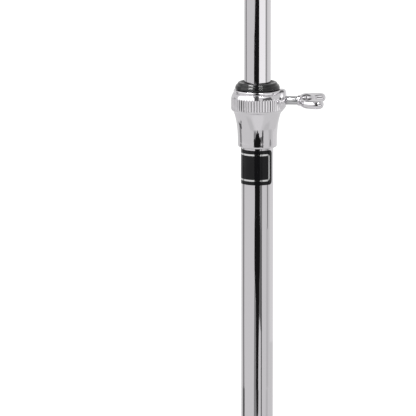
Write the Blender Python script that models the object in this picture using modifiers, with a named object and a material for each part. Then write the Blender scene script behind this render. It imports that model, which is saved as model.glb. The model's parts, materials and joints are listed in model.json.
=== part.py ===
"""A folding stand for a drummer's practice pad, standing open at a middle height.

Two chromed steel tubes telescope through a die-cast height clamp with a nylon bushing and a wing
screw. Three channel legs and their braces fold round the lower tube, and a tilter on top of the
upper tube carries the threaded stud that the pad screws on.

Lengths are in metres. The floor is at z = 0, +Z is up, and the clamp screws point along +X.
"""

import math

import bmesh
import bpy
from mathutils import Matrix, Vector

MM = 0.001

# Fits and fineness
GAP = 0.3 * MM
MERGE_DISTANCE = 0.002 * MM
OVERSHOOT = 2.0 * MM
ROUND_SIDES = 32
COLLAR_SIDES = 36
CAST_SIDES = 24
BOSS_SIDES = 18
PLUG_SIDES = 18
SCREW_SIDES = 12
PIN_SIDES = 12
FILLET_STEPS = 2
EAR_STEPS = 3
BEND_STEPS = 1
LUG_STEPS = 3
SHARP_ANGLE = math.radians(46)
FLAT_ANGLE = math.radians(1)

# Tubes
UPPER_TUBE_RADIUS = 7.9375 * MM
UPPER_TUBE_WALL = 1.0 * MM
UPPER_TUBE_LENGTH = 430.0 * MM
UPPER_TUBE_RISE = 190.45 * MM
TUBE_PLAY = 0.5875 * MM
LOWER_TUBE_WALL = 1.0 * MM
LOWER_TUBE_BORE = UPPER_TUBE_RADIUS + TUBE_PLAY
LOWER_TUBE_RADIUS = LOWER_TUBE_BORE + LOWER_TUBE_WALL
LOWER_TUBE_END_HEIGHT = 14.0 * MM

# End cap and the upper tube's guide
CAP_FLANGE = 2.4 * MM
CAP_SPIGOT = 9.0 * MM
GUIDE_FLANGE = 7.0 * MM
GUIDE_SPIGOT = 12.0 * MM
PLUG_CHAMFER = 0.8 * MM

# Wing screws, with one head for all
SCREW_RADIUS = 2.55 * MM
WING_LENGTH = 16.2 * MM
WING_SPAN = 27.8 * MM
WING_THICKNESS = 4.4 * MM
WING_EDGE_ROUND = 1.5 * MM
WING_ROOT = 1.0 * MM
WING_ROOT_HALF = 3.2 * MM
WING_SHOULDER = 3.0 * MM
WING_SHOULDER_ROUND = 7.0 * MM
WING_TIP_ROUND = 3.5 * MM
WING_VALLEY_HALF = 5.1 * MM
WING_VALLEY_FLOOR = 9.7 * MM
WING_VALLEY_ROUND = 3.0 * MM
WING_STEPS = 4
WING_HUB_RADIUS = 4.5 * MM
WING_HUB_FLARE = 1.2 * MM
WING_HUB_END = -52
WING_HUB_STEPS = 4
SCREW_REACH = 6.9 * MM
SCREW_TIP_CHAMFER = 0.5 * MM

# Screw bosses and the pads that the screws press
BOSS_RADIUS = 6.1 * MM
BOSS_ROUND = 1.1 * MM
SHOE_RADIUS = 3.5 * MM
SHOE_THICKNESS = 2.2 * MM
SCREW_TRAVEL = 2.0 * MM

# Height clamp collar: its neck and taper from its lower edge, the rest from its top down
COLLAR_BOTTOM_HEIGHT = 470.0 * MM
COLLAR_HEIGHT = 34.5 * MM
COLLAR_NECK_WALL = 1.825 * MM
COLLAR_NECK_HEIGHT = 5.0 * MM
COLLAR_TAPER_FLARE = 2.75 * MM
COLLAR_TUBE_SEAT = 16.0 * MM
COLLAR_EDGE_ROUND = 1.2 * MM
COLLAR_LIP_HEIGHT = 2.0 * MM
COLLAR_LIP_REACH = 2.57 * MM
COLLAR_LIP_ROUND = 0.65 * MM
COLLAR_SHOULDER_HEIGHT = 2.9 * MM
COLLAR_BAND_HEIGHT = 6.55 * MM
COLLAR_BAND_REACH = 4.0 * MM
COLLAR_CHIN_HEIGHT = 1.4 * MM
COLLAR_CHIN_STEP = 0.35 * MM
SHOULDER_STEPS = 3
TAPER_STEPS = 3
FLUTE_COLUMNS = 3
FLUTE_DEPTH = 0.5 * MM
FLUTE_RUN_OUT = 0.35 * MM

# The height collar's screw boss
HEIGHT_BOSS_DROP = 6.5 * MM
HEIGHT_BOSS_REACH = 1.35 * MM
HEIGHT_BOSS_HALF = 7.5 * MM
HEIGHT_BOSS_FLARE = 3.6 * MM
HEIGHT_BOSS_RISE = 6.4 * MM
HEIGHT_BOSS_DEPTH = 8.0 * MM
HEIGHT_BOSS_NOSE = 2.2 * MM
HEIGHT_BOSS_INSET = 2.4 * MM
HEIGHT_BOSS_CHIN = 3.75 * MM
HEIGHT_BOSS_SLOPE = 1.2
BOSS_STEPS = 3

# Nylon bushing
BUSHING_WALL = 1.9625 * MM
BUSHING_FLANGE_REACH = 1.63 * MM
BUSHING_FLANGE_HEIGHT = 4.15 * MM
BUSHING_RIM_HEIGHT = 2.98 * MM
BUSHING_RIM_STEP = 1.23 * MM
BUSHING_RIM_ROUND = 0.7 * MM
BUSHING_DISC_ROUND = 0.6 * MM

# Label
LABEL_HEIGHT = 20.8 * MM
LABEL_DROP = 1.6 * MM
LABEL_THICKNESS = 0.2 * MM
LABEL_LIFT = 0.1 * MM
LABEL_OPEN_HALF = 4.3 * MM
LABEL_CORNER = 2.2 * MM

# Tripod
LEG_COUNT = 3
FIRST_LEG_ANGLE = math.radians(180)
SPREAD_ANGLE = math.radians(55)
BRACE_LENGTH = 120.0 * MM
HUB_PIVOT_HEIGHT = 30.0 * MM
LEG_END_HEIGHT = 7.0 * MM
RING_WALL = 5.675 * MM
RING_ROUND = 1.6 * MM
PIVOT_REACH = 8.5 * MM
HUB_LUG_WIDTH = 8.0 * MM
HUB_LUG_ROUND = 5.0 * MM
HUB_LUG_ROOT_HALF = 8.0 * MM
HUB_HALF_HEIGHT = 12.5 * MM
COLLAR_LUG_ROUND = 6.0 * MM
COLLAR_LUG_ROOT_HALF = 8.5 * MM
SLIDER_BELOW = 10.0 * MM
SLIDER_ABOVE = 24.0 * MM
SLIDER_BOSS_HEIGHT = 15.5 * MM
SLIDER_WAIST_STEP = 1.6 * MM
SLIDER_SKIRT_TOP = 7.5 * MM
SLIDER_WAIST_HEIGHT = 2.5 * MM
SLIDER_BOSS_REACH = 3.0 * MM
CHANNEL_WALL = 1.2 * MM
CHANNEL_BEND = 0.9 * MM
RIVET_RADIUS = 2.5 * MM
RIVET_HEAD_RADIUS = 4.3 * MM
RIVET_HEAD_HEIGHT = 1.5 * MM
BRACE_EAR_WALL = 1.3 * MM
EAR_STEP = 0.1 * MM
NEST_GAP = 0.4 * MM
WEB_CLEARANCE = 3.0 * MM
CROSS_PIN_RADIUS = 2.0 * MM
HUB_CROSS_PIN_RISE = 7.5 * MM

# Rubber feet
FOOT_SIDE_WALL = 2.4 * MM
FOOT_TOP_WALL = 2.6 * MM
FOOT_LENGTH = 30.0 * MM
FOOT_NOSE = 8.0 * MM
FOOT_SOLE = 20.0 * MM
FOOT_ROUND = 3.0 * MM
FOOT_NOSE_ROUND = 7.0 * MM
FOOT_EDGE_ROUND = 1.8 * MM

# Tilter, measured from its pivot
TILT_PIVOT_RISE = 17.0 * MM
TILTER_SLEEVE_DEPTH = 22.0 * MM
TILTER_SLEEVE_WALL = 2.4 * MM
TILTER_SLEEVE_CAP = 5.0 * MM
TILTER_SLEEVE_ROUND = 1.2 * MM
CHEEK_RADIUS = 11.0 * MM
CHEEK_THICKNESS = 7.6 * MM
CHEEK_ROUND = 1.0 * MM
CHEEK_NECK_HALF = 7.5 * MM
FRICTION_WASHER_THICKNESS = 1.0 * MM
FRICTION_WASHER_RADIUS = 10.0 * MM
SCREW_WASHER_THICKNESS = 1.4 * MM
SCREW_WASHER_RADIUS = 7.0 * MM
TILTER_PIN_RADIUS = 1.5 * MM

# Pad fixing, from the platform up
PLATFORM_GAP = 1.0 * MM
PLATFORM_HUB_RADIUS = 8.0 * MM
PLATFORM_HUB_HEIGHT = 5.0 * MM
PLATFORM_RADIUS = 13.0 * MM
PLATFORM_THICKNESS = 3.0 * MM
STUD_RADIUS = 3.9 * MM
STUD_ROOT = 6.5 * MM
STUD_LENGTH = 35.0 * MM
STUD_CHAMFER = 0.8 * MM
NUT_LIFT = 6.0 * MM
NUT_WIDTH = 13.0 * MM
NUT_HEIGHT = 6.5 * MM
NUT_SIDES = 6
NUT_CHAMFER_START = 0.3 * MM
NUT_CHAMFER_SLOPE = math.tan(math.radians(30))
PAD_WASHER_RADIUS = 12.5 * MM
PAD_WASHER_THICKNESS = 2.0 * MM
PLATFORM_ROUND = 0.6 * MM

# Sizes that follow
COLLAR_BORE = LOWER_TUBE_RADIUS + GAP
NECK_RADIUS = COLLAR_BORE + COLLAR_NECK_WALL
LIP_RADIUS = NECK_RADIUS + COLLAR_LIP_REACH
BAND_RADIUS = NECK_RADIUS + COLLAR_BAND_REACH
SHOULDER_TOP = COLLAR_HEIGHT - COLLAR_LIP_HEIGHT
BAND_TOP = SHOULDER_TOP - COLLAR_SHOULDER_HEIGHT
BAND_BOTTOM = BAND_TOP - COLLAR_BAND_HEIGHT
TAPER_TOP = BAND_BOTTOM - COLLAR_CHIN_HEIGHT
HEIGHT_BOSS_FACE = BAND_RADIUS + HEIGHT_BOSS_REACH
HEIGHT_BOSS_HEIGHT = COLLAR_HEIGHT - HEIGHT_BOSS_DROP
BUSHING_BORE = UPPER_TUBE_RADIUS + GAP
BUSHING_RADIUS = BUSHING_BORE + BUSHING_WALL
BUSHING_TOP_HEIGHT = COLLAR_BOTTOM_HEIGHT + COLLAR_HEIGHT + GAP + BUSHING_FLANGE_HEIGHT
LOWER_TUBE_TOP_HEIGHT = COLLAR_BOTTOM_HEIGHT + COLLAR_TUBE_SEAT
UPPER_TUBE_TOP_HEIGHT = BUSHING_TOP_HEIGHT + UPPER_TUBE_RISE
TILT_PIVOT_HEIGHT = UPPER_TUBE_TOP_HEIGHT + TILT_PIVOT_RISE
SCREW_HOLE_RADIUS = SCREW_RADIUS + GAP
SHOE_HOLE_RADIUS = SHOE_RADIUS + GAP
RIVET_HOLE_RADIUS = RIVET_RADIUS + GAP
RING_RADIUS = COLLAR_BORE + RING_WALL
PIVOT_RADIUS = RING_RADIUS + PIVOT_REACH
SLIDER_PIVOT_HEIGHT = HUB_PIVOT_HEIGHT + 2 * BRACE_LENGTH * math.cos(SPREAD_ANGLE)
LEG_LENGTH = (SLIDER_PIVOT_HEIGHT - LEG_END_HEIGHT) / math.cos(SPREAD_ANGLE)
BRACE_INNER_WIDTH = HUB_LUG_WIDTH + 2 * GAP
BRACE_WIDTH = BRACE_INNER_WIDTH + 2 * CHANNEL_WALL
LEG_INNER_WIDTH = BRACE_WIDTH + 2 * GAP
LEG_WIDTH = LEG_INNER_WIDTH + 2 * CHANNEL_WALL
COLLAR_LUG_WIDTH = LEG_INNER_WIDTH - 2 * GAP
BRACE_EAR = RIVET_HOLE_RADIUS + BRACE_EAR_WALL
BRACE_WEB = BRACE_EAR + EAR_STEP + CHANNEL_BEND + CHANNEL_WALL
LEG_WEB = BRACE_WEB + NEST_GAP + CHANNEL_WALL
LEG_EAR = LEG_WEB - CHANNEL_WALL - CHANNEL_BEND - EAR_STEP
FOOT_HALF_WIDTH = LEG_WIDTH / 2 + GAP + FOOT_SIDE_WALL
CHEEK_FACE = FRICTION_WASHER_THICKNESS / 2 + GAP
CHEEK_BACK = CHEEK_FACE + CHEEK_THICKNESS
PLATFORM_BASE = CHEEK_RADIUS + PLATFORM_GAP
PLATFORM_TOP = PLATFORM_BASE + PLATFORM_HUB_HEIGHT + PLATFORM_THICKNESS
NUT_BASE = PLATFORM_TOP + NUT_LIFT
HUB_PIN_HEIGHT = HUB_PIVOT_HEIGHT + HUB_CROSS_PIN_RISE
TILTER_PIN_HEIGHT = -TILTER_SLEEVE_DEPTH / 2

# The feet's farthest corners, before they are rounded, set how far the tube stands from the
# middle of the stand's outline box.
FOOT_TOP = LEG_WEB + GAP + FOOT_TOP_WALL
TOE_REACH = (LEG_LENGTH + FOOT_NOSE) * math.sin(SPREAD_ANGLE) + FOOT_TOP * math.cos(SPREAD_ANGLE)
TOE_RADIUS = PIVOT_RADIUS + TOE_REACH
SIDE_LEG_ANGLE = math.pi - 2 * math.pi / LEG_COUNT
SIDE_TOE_REACH = TOE_RADIUS * math.cos(SIDE_LEG_ANGLE)
SIDE_TOE_REACH += FOOT_HALF_WIDTH * math.sin(SIDE_LEG_ANGLE)
STAND_OFFSET = (TOE_RADIUS - SIDE_TOE_REACH) / 2

# Colour, metallic and roughness of each finish
CHROME = ((0.78, 0.78, 0.79), 1.0, 0.08)
CAST_CHROME = ((0.76, 0.76, 0.77), 1.0, 0.14)
ZINC = ((0.62, 0.62, 0.60), 1.0, 0.32)
BLACK_NYLON = ((0.025, 0.025, 0.027), 0.0, 0.38)
WHITE_NYLON = ((0.80, 0.79, 0.74), 0.0, 0.45)
BLACK_RUBBER = ((0.030, 0.030, 0.030), 0.0, 0.75)
LABEL_VINYL = ((0.015, 0.015, 0.017), 0.0, 0.25)

ALONG_X = Matrix.Rotation(math.radians(90), 4, "Y")
ALONG_Y = Matrix.Rotation(math.radians(90), 4, "X")
SECTION_ALONG_X = Matrix(((0, 0, 1, 0), (1, 0, 0, 0), (0, 1, 0, 0), (0, 0, 0, 1)))
OUTWARD_X = (math.radians(90), 0.0, math.radians(90))


def clear_scene():
    for old in list(bpy.data.objects):
        bpy.data.objects.remove(old, do_unlink=True)


def new_collection(name):
    collection = bpy.data.collections.new(name)
    bpy.context.scene.collection.children.link(collection)
    return collection


clear_scene()
PARTS = new_collection("practice_pad_stand")
TOOLS = new_collection("cutters")


# Drawing helpers


def arc(centre, radius, start, end, steps=FILLET_STEPS * 2):
    """Points along an arc, with its angles in degrees."""
    angles = [math.radians(start + (end - start) * i / steps) for i in range(steps + 1)]
    return [(centre[0] + radius * math.cos(a), centre[1] + radius * math.sin(a)) for a in angles]


def fillet(before, corner, after, radius, steps):
    """The arc of that radius which rounds the corner between its two neighbours."""
    to_before = (Vector(before) - Vector(corner)).normalized()
    to_after = (Vector(after) - Vector(corner)).normalized()
    half = to_before.angle(to_after) / 2
    middle = Vector(corner) + (to_before + to_after).normalized() * radius / math.sin(half)
    reach = radius / math.tan(half)
    first = Vector(corner) + to_before * reach - middle
    last = Vector(corner) + to_after * reach - middle
    start = math.atan2(first.y, first.x)
    sweep = math.remainder(math.atan2(last.y, last.x) - start, 2 * math.pi)
    angles = [start + sweep * i / steps for i in range(steps + 1)]
    return [(middle.x + radius * math.cos(a), middle.y + radius * math.sin(a)) for a in angles]


def rounded(corners, closed=True, steps=FILLET_STEPS):
    """An outline through corners (x, y) or (x, y, radius), with each radius drawn as a fillet."""
    points = []
    for index, (x, y, *radius) in enumerate(corners):
        if not radius:
            points.append((x, y))
            continue
        before = corners[index - 1][:2]
        after = corners[(index + 1) % len(corners)][:2]
        points.extend(fillet(before, (x, y), after, radius[0], steps))
    return without_repeats(points, closed)


def without_repeats(points, closed):
    kept = [points[0]]
    for point in points[1:]:
        if math.dist(point, kept[-1]) > MERGE_DISTANCE:
            kept.append(point)
    if closed and math.dist(kept[0], kept[-1]) <= MERGE_DISTANCE:
        kept.pop()
    return kept


def mirrored(half):
    """A half outline in x >= 0, with its mirror image across x = 0 added in reverse order."""
    return half + [(-x, y) for x, y in reversed(half)]


# Solids


def add_object(name, mesh):
    piece = bpy.data.objects.new(name, mesh)
    PARTS.objects.link(piece)
    return piece


def turned(name, profile, sides=ROUND_SIDES, ring=False):
    """A profile of (radius, height), listed down its outer side, turned round Z. A ring's closes."""
    points = [(radius, 0.0, height) for radius, height in profile]
    edges = [(i, i + 1) for i in range(len(points) - 1)]
    if ring:
        edges.append((len(points) - 1, 0))
    mesh = bpy.data.meshes.new(name)
    mesh.from_pydata(points, edges, [])
    piece = add_object(name, mesh)
    screw = piece.modifiers.new("turn", "SCREW")
    screw.axis = "Z"
    screw.angle = 2 * math.pi
    screw.steps = sides
    screw.render_steps = sides
    screw.use_merge_vertices = True
    screw.merge_threshold = MERGE_DISTANCE
    return piece


def plate(name, outline, thickness):
    """A flat piece of that outline in the XY plane, with its mid-plane at z = 0."""
    curve = bpy.data.curves.new(name, "CURVE")
    curve.dimensions = "2D"
    curve.fill_mode = "BOTH"
    curve.extrude = thickness / 2
    spline = curve.splines.new("POLY")
    spline.points.add(len(outline) - 1)
    for point, (x, y) in zip(spline.points, outline):
        point.co = (x, y, 0.0, 1.0)
    spline.use_cyclic_u = True
    drawing = bpy.data.objects.new(name, curve)
    TOOLS.objects.link(drawing)
    mesh = evaluated_mesh(drawing)
    bpy.data.objects.remove(drawing)
    bpy.data.curves.remove(curve)
    weld(mesh)
    mesh.name = name
    return add_object(name, mesh)


def rod(name, radius, length, turn=None, centre=(0.0, 0.0, 0.0), sides=PIN_SIDES):
    """A plain cylinder along Z, or along another axis once turned."""
    bpy.ops.mesh.primitive_cylinder_add(vertices=sides, radius=radius, depth=length)
    piece = take_primitive(name)
    if turn:
        piece.data.transform(turn)
    piece.data.transform(Matrix.Translation(centre))
    return piece


def block(name, low, high):
    """A box between two corners."""
    bpy.ops.mesh.primitive_cube_add(size=1.0)
    piece = take_primitive(name)
    low = Vector(low)
    high = Vector(high)
    piece.data.transform(Matrix.Diagonal((*(high - low), 1.0)))
    piece.data.transform(Matrix.Translation((low + high) / 2))
    return piece


def take_primitive(name):
    piece = bpy.context.active_object
    piece.name = name
    piece.data.name = name
    for collection in list(piece.users_collection):
        collection.objects.unlink(piece)
    PARTS.objects.link(piece)
    return piece


def weld(mesh):
    cage = bmesh.new()
    cage.from_mesh(mesh)
    bmesh.ops.remove_doubles(cage, verts=cage.verts, dist=MERGE_DISTANCE)
    bmesh.ops.recalc_face_normals(cage, faces=cage.faces)
    cage.to_mesh(mesh)
    cage.free()


def evaluated_mesh(piece):
    bpy.context.view_layer.update()
    depsgraph = bpy.context.evaluated_depsgraph_get()
    return bpy.data.meshes.new_from_object(piece.evaluated_get(depsgraph))


def round_edges(piece, width, segments=2):
    """Rounds the piece's sharp edges, once each flat side is a single face."""
    merge = piece.modifiers.new("merge_flat_faces", "DECIMATE")
    merge.decimate_type = "DISSOLVE"
    merge.angle_limit = FLAT_ANGLE
    bevel = piece.modifiers.new("round_edges", "BEVEL")
    bevel.width = width
    bevel.segments = segments
    bevel.limit_method = "ANGLE"
    bevel.angle_limit = SHARP_ANGLE
    return piece


def combine(piece, tool, operation):
    boolean = piece.modifiers.new(tool.name, "BOOLEAN")
    boolean.operation = operation
    boolean.solver = "EXACT"
    boolean.object = tool
    PARTS.objects.unlink(tool)
    TOOLS.objects.link(tool)
    tool.hide_render = True
    tool.display_type = "WIRE"


def cut(piece, *tools):
    for tool in tools:
        combine(piece, tool, "DIFFERENCE")


def join(piece, *tools):
    for tool in tools:
        combine(piece, tool, "UNION")


def finished_mesh(piece):
    """The piece's shape with its modifiers applied, shaded smooth up to its sharp edges."""
    mesh = evaluated_mesh(piece)
    weld(mesh)
    mesh.shade_smooth()
    mesh.set_sharp_from_angle(angle=SHARP_ANGLE)
    mesh.name = piece.name
    return mesh


def remove_tools(piece):
    for modifier in list(piece.modifiers):
        tool = modifier.object if modifier.type == "BOOLEAN" else None
        piece.modifiers.remove(modifier)
        if tool:
            remove_tools(tool)
            bpy.data.objects.remove(tool)


def finish(piece, coating):
    """Applies the modifiers, drops the tools they used and gives the piece its own material."""
    mesh = finished_mesh(piece)
    remove_tools(piece)
    piece.data = mesh
    paint(piece, coating)
    return piece


def paint(piece, coating):
    colour, metallic, roughness = coating
    material = bpy.data.materials.new(piece.name)
    material.use_nodes = True
    shader = material.node_tree.nodes["Principled BSDF"]
    shader.inputs["Base Color"].default_value = (*colour, 1.0)
    shader.inputs["Metallic"].default_value = metallic
    shader.inputs["Roughness"].default_value = roughness
    material.diffuse_color = (*colour, 1.0)
    piece.data.materials.clear()
    piece.data.materials.append(material)


def twin(name, original):
    """Another piece of the same shape, with its own mesh and material."""
    piece = add_object(name, original.data.copy())
    piece.data.name = name
    material = original.data.materials[0].copy()
    material.name = name
    piece.data.materials[0] = material
    return piece


def place(piece, parent, location=(0.0, 0.0, 0.0), rotation=(0.0, 0.0, 0.0)):
    piece.parent = parent
    piece.location = location
    piece.rotation_euler = rotation
    return piece


def pivot_empty(name, parent=None, location=(0.0, 0.0, 0.0), rotation=(0.0, 0.0, 0.0)):
    empty = bpy.data.objects.new(name, None)
    empty.empty_display_size = 20 * MM
    PARTS.objects.link(empty)
    return place(empty, parent, location, rotation)


# Tubes and what plugs them


def tube_profile(radius, bore, bottom, top):
    return [(radius, top), (radius, bottom), (bore, bottom), (bore, top)]


def make_lower_tube(stand):
    profile = tube_profile(
        LOWER_TUBE_RADIUS, LOWER_TUBE_BORE, LOWER_TUBE_END_HEIGHT, LOWER_TUBE_TOP_HEIGHT
    )
    tube = turned("lower_tube", profile, ring=True)
    cut(tube, cross_hole(CROSS_PIN_RADIUS + GAP, LOWER_TUBE_RADIUS, HUB_PIN_HEIGHT))
    place(finish(tube, CHROME), stand)


def cross_hole(radius, reach, height):
    """A cutter for a pin's hole right through a tube, along Y."""
    length = 2 * (reach + OVERSHOOT)
    return rod("cross_hole", radius, length, ALONG_Y, (0.0, 0.0, height))


def plug_profile(bore, flange_radius, flange, spigot):
    """A plug's outer side, from the top of its spigot, which is inside the tube, to its flange."""
    radius = bore - GAP
    return rounded(
        [
            (0.0, spigot),
            (radius - PLUG_CHAMFER, spigot),
            (radius, spigot - PLUG_CHAMFER),
            (radius, 0.0),
            (flange_radius, 0.0),
            (flange_radius, -flange, PLUG_CHAMFER),
            (0.0, -flange),
        ],
        closed=False,
        steps=1,
    )


def make_end_cap(stand):
    profile = plug_profile(LOWER_TUBE_BORE, LOWER_TUBE_RADIUS, CAP_FLANGE, CAP_SPIGOT)
    cap = finish(turned("tube_end_cap", profile, sides=PLUG_SIDES), BLACK_NYLON)
    place(cap, stand, (0.0, 0.0, LOWER_TUBE_END_HEIGHT - GAP))


def make_upper_tube(upper):
    bore = UPPER_TUBE_RADIUS - UPPER_TUBE_WALL
    tube = turned(
        "upper_tube", tube_profile(UPPER_TUBE_RADIUS, bore, -UPPER_TUBE_LENGTH, 0.0), ring=True
    )
    cut(tube, cross_hole(TILTER_PIN_RADIUS + GAP, UPPER_TUBE_RADIUS, TILTER_PIN_HEIGHT))
    place(finish(tube, CHROME), upper)


def make_tube_guide(upper):
    bore = UPPER_TUBE_RADIUS - UPPER_TUBE_WALL
    guide_radius = LOWER_TUBE_BORE - GAP
    profile = plug_profile(bore, guide_radius, GUIDE_FLANGE, GUIDE_SPIGOT)
    guide = finish(turned("tube_guide", profile, sides=PLUG_SIDES), WHITE_NYLON)
    place(guide, upper, (0.0, 0.0, -UPPER_TUBE_LENGTH - GAP))


# Wing screws, shoes and bosses


def wing_outline():
    """Both wings from the screw's axis out: root, swept shoulder, round tip and flat valley."""
    half_span = WING_SPAN / 2
    half = rounded(
        [
            (0.0, WING_ROOT),
            (WING_ROOT_HALF, WING_ROOT),
            (half_span, WING_SHOULDER, WING_SHOULDER_ROUND),
            (half_span, WING_LENGTH, WING_TIP_ROUND),
            (WING_VALLEY_HALF, WING_LENGTH, WING_TIP_ROUND),
            (WING_VALLEY_HALF, WING_VALLEY_FLOOR, WING_VALLEY_ROUND),
            (0.0, WING_VALLEY_FLOOR),
        ],
        closed=False,
        steps=WING_STEPS,
    )
    return mirrored(half[1:-1])


def screw_profile(shank):
    """The screw's core: a ball hub that flares out of the shank, from its outer end inwards."""
    hub = arc((0.0, WING_HUB_RADIUS), WING_HUB_RADIUS, 90, WING_HUB_END, WING_HUB_STEPS)
    return [
        *hub,
        (SCREW_RADIUS, -WING_HUB_FLARE),
        (SCREW_RADIUS, SCREW_TIP_CHAMFER - shank),
        (SCREW_RADIUS - SCREW_TIP_CHAMFER, -shank),
        (0.0, -shank),
    ]


def wing_screw(name, shank):
    """A cast wing head on a plain shank, pointing out along local Z with its wings along X."""
    screw = turned(name, screw_profile(shank), sides=SCREW_SIDES)
    wings = plate("wings", wing_outline(), WING_THICKNESS)
    wings.data.transform(ALONG_Y)
    join(screw, round_edges(wings, WING_EDGE_ROUND))
    return finish(screw, CAST_CHROME)


def shoe_faces(tube_radius):
    """Where a shoe on a tube of that radius starts and ends, and where its pocket ends."""
    inner = tube_radius + GAP
    outer = inner + SHOE_THICKNESS
    return inner, outer, outer + SCREW_TRAVEL + GAP


def clamp_shoe(name, tube_radius):
    """A nylon pad, hollowed to the tube that it presses, on the screw's axis along X."""
    inner, outer, _ = shoe_faces(tube_radius)
    hollow = inner - math.sqrt(inner**2 - SHOE_RADIUS**2)
    length = SHOE_THICKNESS + hollow
    shoe = rod(name, SHOE_RADIUS, length, ALONG_X, (outer - length / 2, 0.0, 0.0))
    cut(shoe, rod("tube_room", inner, 3 * SHOE_RADIUS, sides=ROUND_SIDES))
    return finish(shoe, WHITE_NYLON)


def screw_bore(tube_radius, face, height):
    """Cutters for the shoe's pocket and the screw's hole through a boss that ends at face."""
    _, _, pocket_end = shoe_faces(tube_radius)
    pocket_middle = (pocket_end / 2, 0.0, height)
    hole_length = face + OVERSHOOT - pocket_end / 2
    hole_middle = (pocket_end / 2 + hole_length / 2, 0.0, height)
    pocket = rod("shoe_pocket", SHOE_HOLE_RADIUS, pocket_end, ALONG_X, pocket_middle)
    hole = rod("screw_hole", SCREW_HOLE_RADIUS, hole_length, ALONG_X, hole_middle)
    return pocket, hole


def boss(face, height, root):
    """A round lug along X, from inside the collar's wall out to its face, with a rounded end."""
    profile = rounded(
        [(0.0, face), (BOSS_RADIUS, face, BOSS_ROUND), (BOSS_RADIUS, root), (0.0, root)],
        closed=False,
    )
    lug = turned("boss", profile, sides=BOSS_SIDES)
    lug.rotation_euler = OUTWARD_X
    lug.location.z = height
    return lug


def make_clamp(screw_name, shoe_name, parent, tube_radius, face, height):
    _, shoe_outer, _ = shoe_faces(tube_radius)
    head = face + SCREW_REACH
    shank = head - shoe_outer - GAP
    place(wing_screw(screw_name, shank), parent, (head, 0.0, height), OUTWARD_X)
    place(clamp_shoe(shoe_name, tube_radius), parent, (0.0, 0.0, height))


# Height clamp


def plain_ring(radius, height, sides=COLLAR_SIDES):
    """A row of points round Z."""
    turns = [2 * math.pi * i / sides for i in range(sides)]
    return [(radius * math.cos(turn), radius * math.sin(turn), height) for turn in turns]


def fluted_ring(height):
    """A row round the collar's band, with every other point pressed in by a flute."""
    sides = COLLAR_SIDES * FLUTE_COLUMNS
    ridges = plain_ring(BAND_RADIUS, height, sides)
    grooves = plain_ring(BAND_RADIUS - FLUTE_DEPTH, height, sides)
    return [grooves[i] if i % 2 else ridges[i] for i in range(sides)]


def bridge(shell, upper, lower):
    """Triangles between two rows, which may differ in number, stepping on the one behind."""
    i = 0
    j = 0
    while i + j < len(upper) + len(lower):
        corners = [upper[i % len(upper)], lower[j % len(lower)]]
        if (i + 0.5) * len(lower) <= (j + 0.5) * len(upper):
            i += 1
            corners.append(upper[i % len(upper)])
        else:
            j += 1
            corners.append(lower[j % len(lower)])
        shell.faces.new(corners)


def stitched(name, rings, ends):
    """A solid through rows of points. Its ends are capped, or without ends it closes on itself."""
    shell = bmesh.new()
    rows = [[shell.verts.new(point) for point in ring] for ring in rings]
    for upper, lower in zip(rows, rows[1:]):
        bridge(shell, upper, lower)
    if ends:
        shell.faces.new(rows[0])
        shell.faces.new(rows[-1])
    else:
        bridge(shell, rows[-1], rows[0])
    bmesh.ops.recalc_face_normals(shell, faces=shell.faces)
    mesh = bpy.data.meshes.new(name)
    shell.to_mesh(mesh)
    shell.free()
    return add_object(name, mesh)


def sweep(step, rise, start, steps):
    """Half a cove or a dome: points that leave start upright and end up step out, rise along."""
    radius = (step**2 + rise**2) / (2 * abs(step))
    turn = math.asin(abs(rise) / radius)
    points = []
    for i in range(1, steps + 1):
        share = turn * i / steps
        out = math.copysign(radius * (1 - math.cos(share)), step)
        points.append((start[0] + out, start[1] + math.copysign(radius * math.sin(share), rise)))
    return points


def collar_top():
    """The collar's lip and shoulder, from its bore out and down to the fluted band."""
    bushing_room = BUSHING_RADIUS + GAP
    lip = rounded(
        [
            (bushing_room, COLLAR_HEIGHT),
            (LIP_RADIUS, COLLAR_HEIGHT, COLLAR_LIP_ROUND),
            (LIP_RADIUS, SHOULDER_TOP),
        ],
        closed=False,
        steps=1,
    )
    band_edge = (BAND_RADIUS, BAND_TOP)
    shoulder_step = LIP_RADIUS - BAND_RADIUS
    shoulder = sweep(shoulder_step, COLLAR_SHOULDER_HEIGHT, band_edge, SHOULDER_STEPS)
    return [*lip[:-1], *reversed(shoulder), band_edge]


def collar_foot():
    """From the fluted band down the chin, taper and neck, and up the bore to the bushing."""
    neck_top = (NECK_RADIUS, COLLAR_NECK_HEIGHT)
    taper_rise = TAPER_TOP - COLLAR_NECK_HEIGHT
    taper = sweep(COLLAR_TAPER_FLARE, taper_rise, neck_top, TAPER_STEPS)
    edge = rounded(
        [neck_top, (NECK_RADIUS, 0.0, COLLAR_EDGE_ROUND), (COLLAR_BORE, 0.0)],
        closed=False,
    )
    return [
        (BAND_RADIUS - COLLAR_CHIN_STEP, BAND_BOTTOM - COLLAR_CHIN_HEIGHT / 2),
        *reversed(taper),
        *edge,
        (COLLAR_BORE, COLLAR_TUBE_SEAT),
        (BUSHING_RADIUS + GAP, COLLAR_TUBE_SEAT),
    ]


def collar_body():
    """The height collar in one skin, with its flutes pressed into the band."""
    rings = [plain_ring(*point) for point in collar_top()]
    rings.append(fluted_ring(BAND_TOP - FLUTE_RUN_OUT))
    rings.append(fluted_ring(BAND_BOTTOM))
    rings.extend(plain_ring(*point) for point in collar_foot())
    return stitched("height_collar", rings, ends=False)


def boss_station(place, side, above, below):
    """A row round the height boss: an oval whose lower half may reach further than its upper."""
    points = []
    for i in range(BOSS_SIDES):
        turn = 2 * math.pi * i / BOSS_SIDES
        reach = above if math.cos(turn) > 0 else below
        points.append((place, side * math.sin(turn), reach * math.cos(turn)))
    return points


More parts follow.
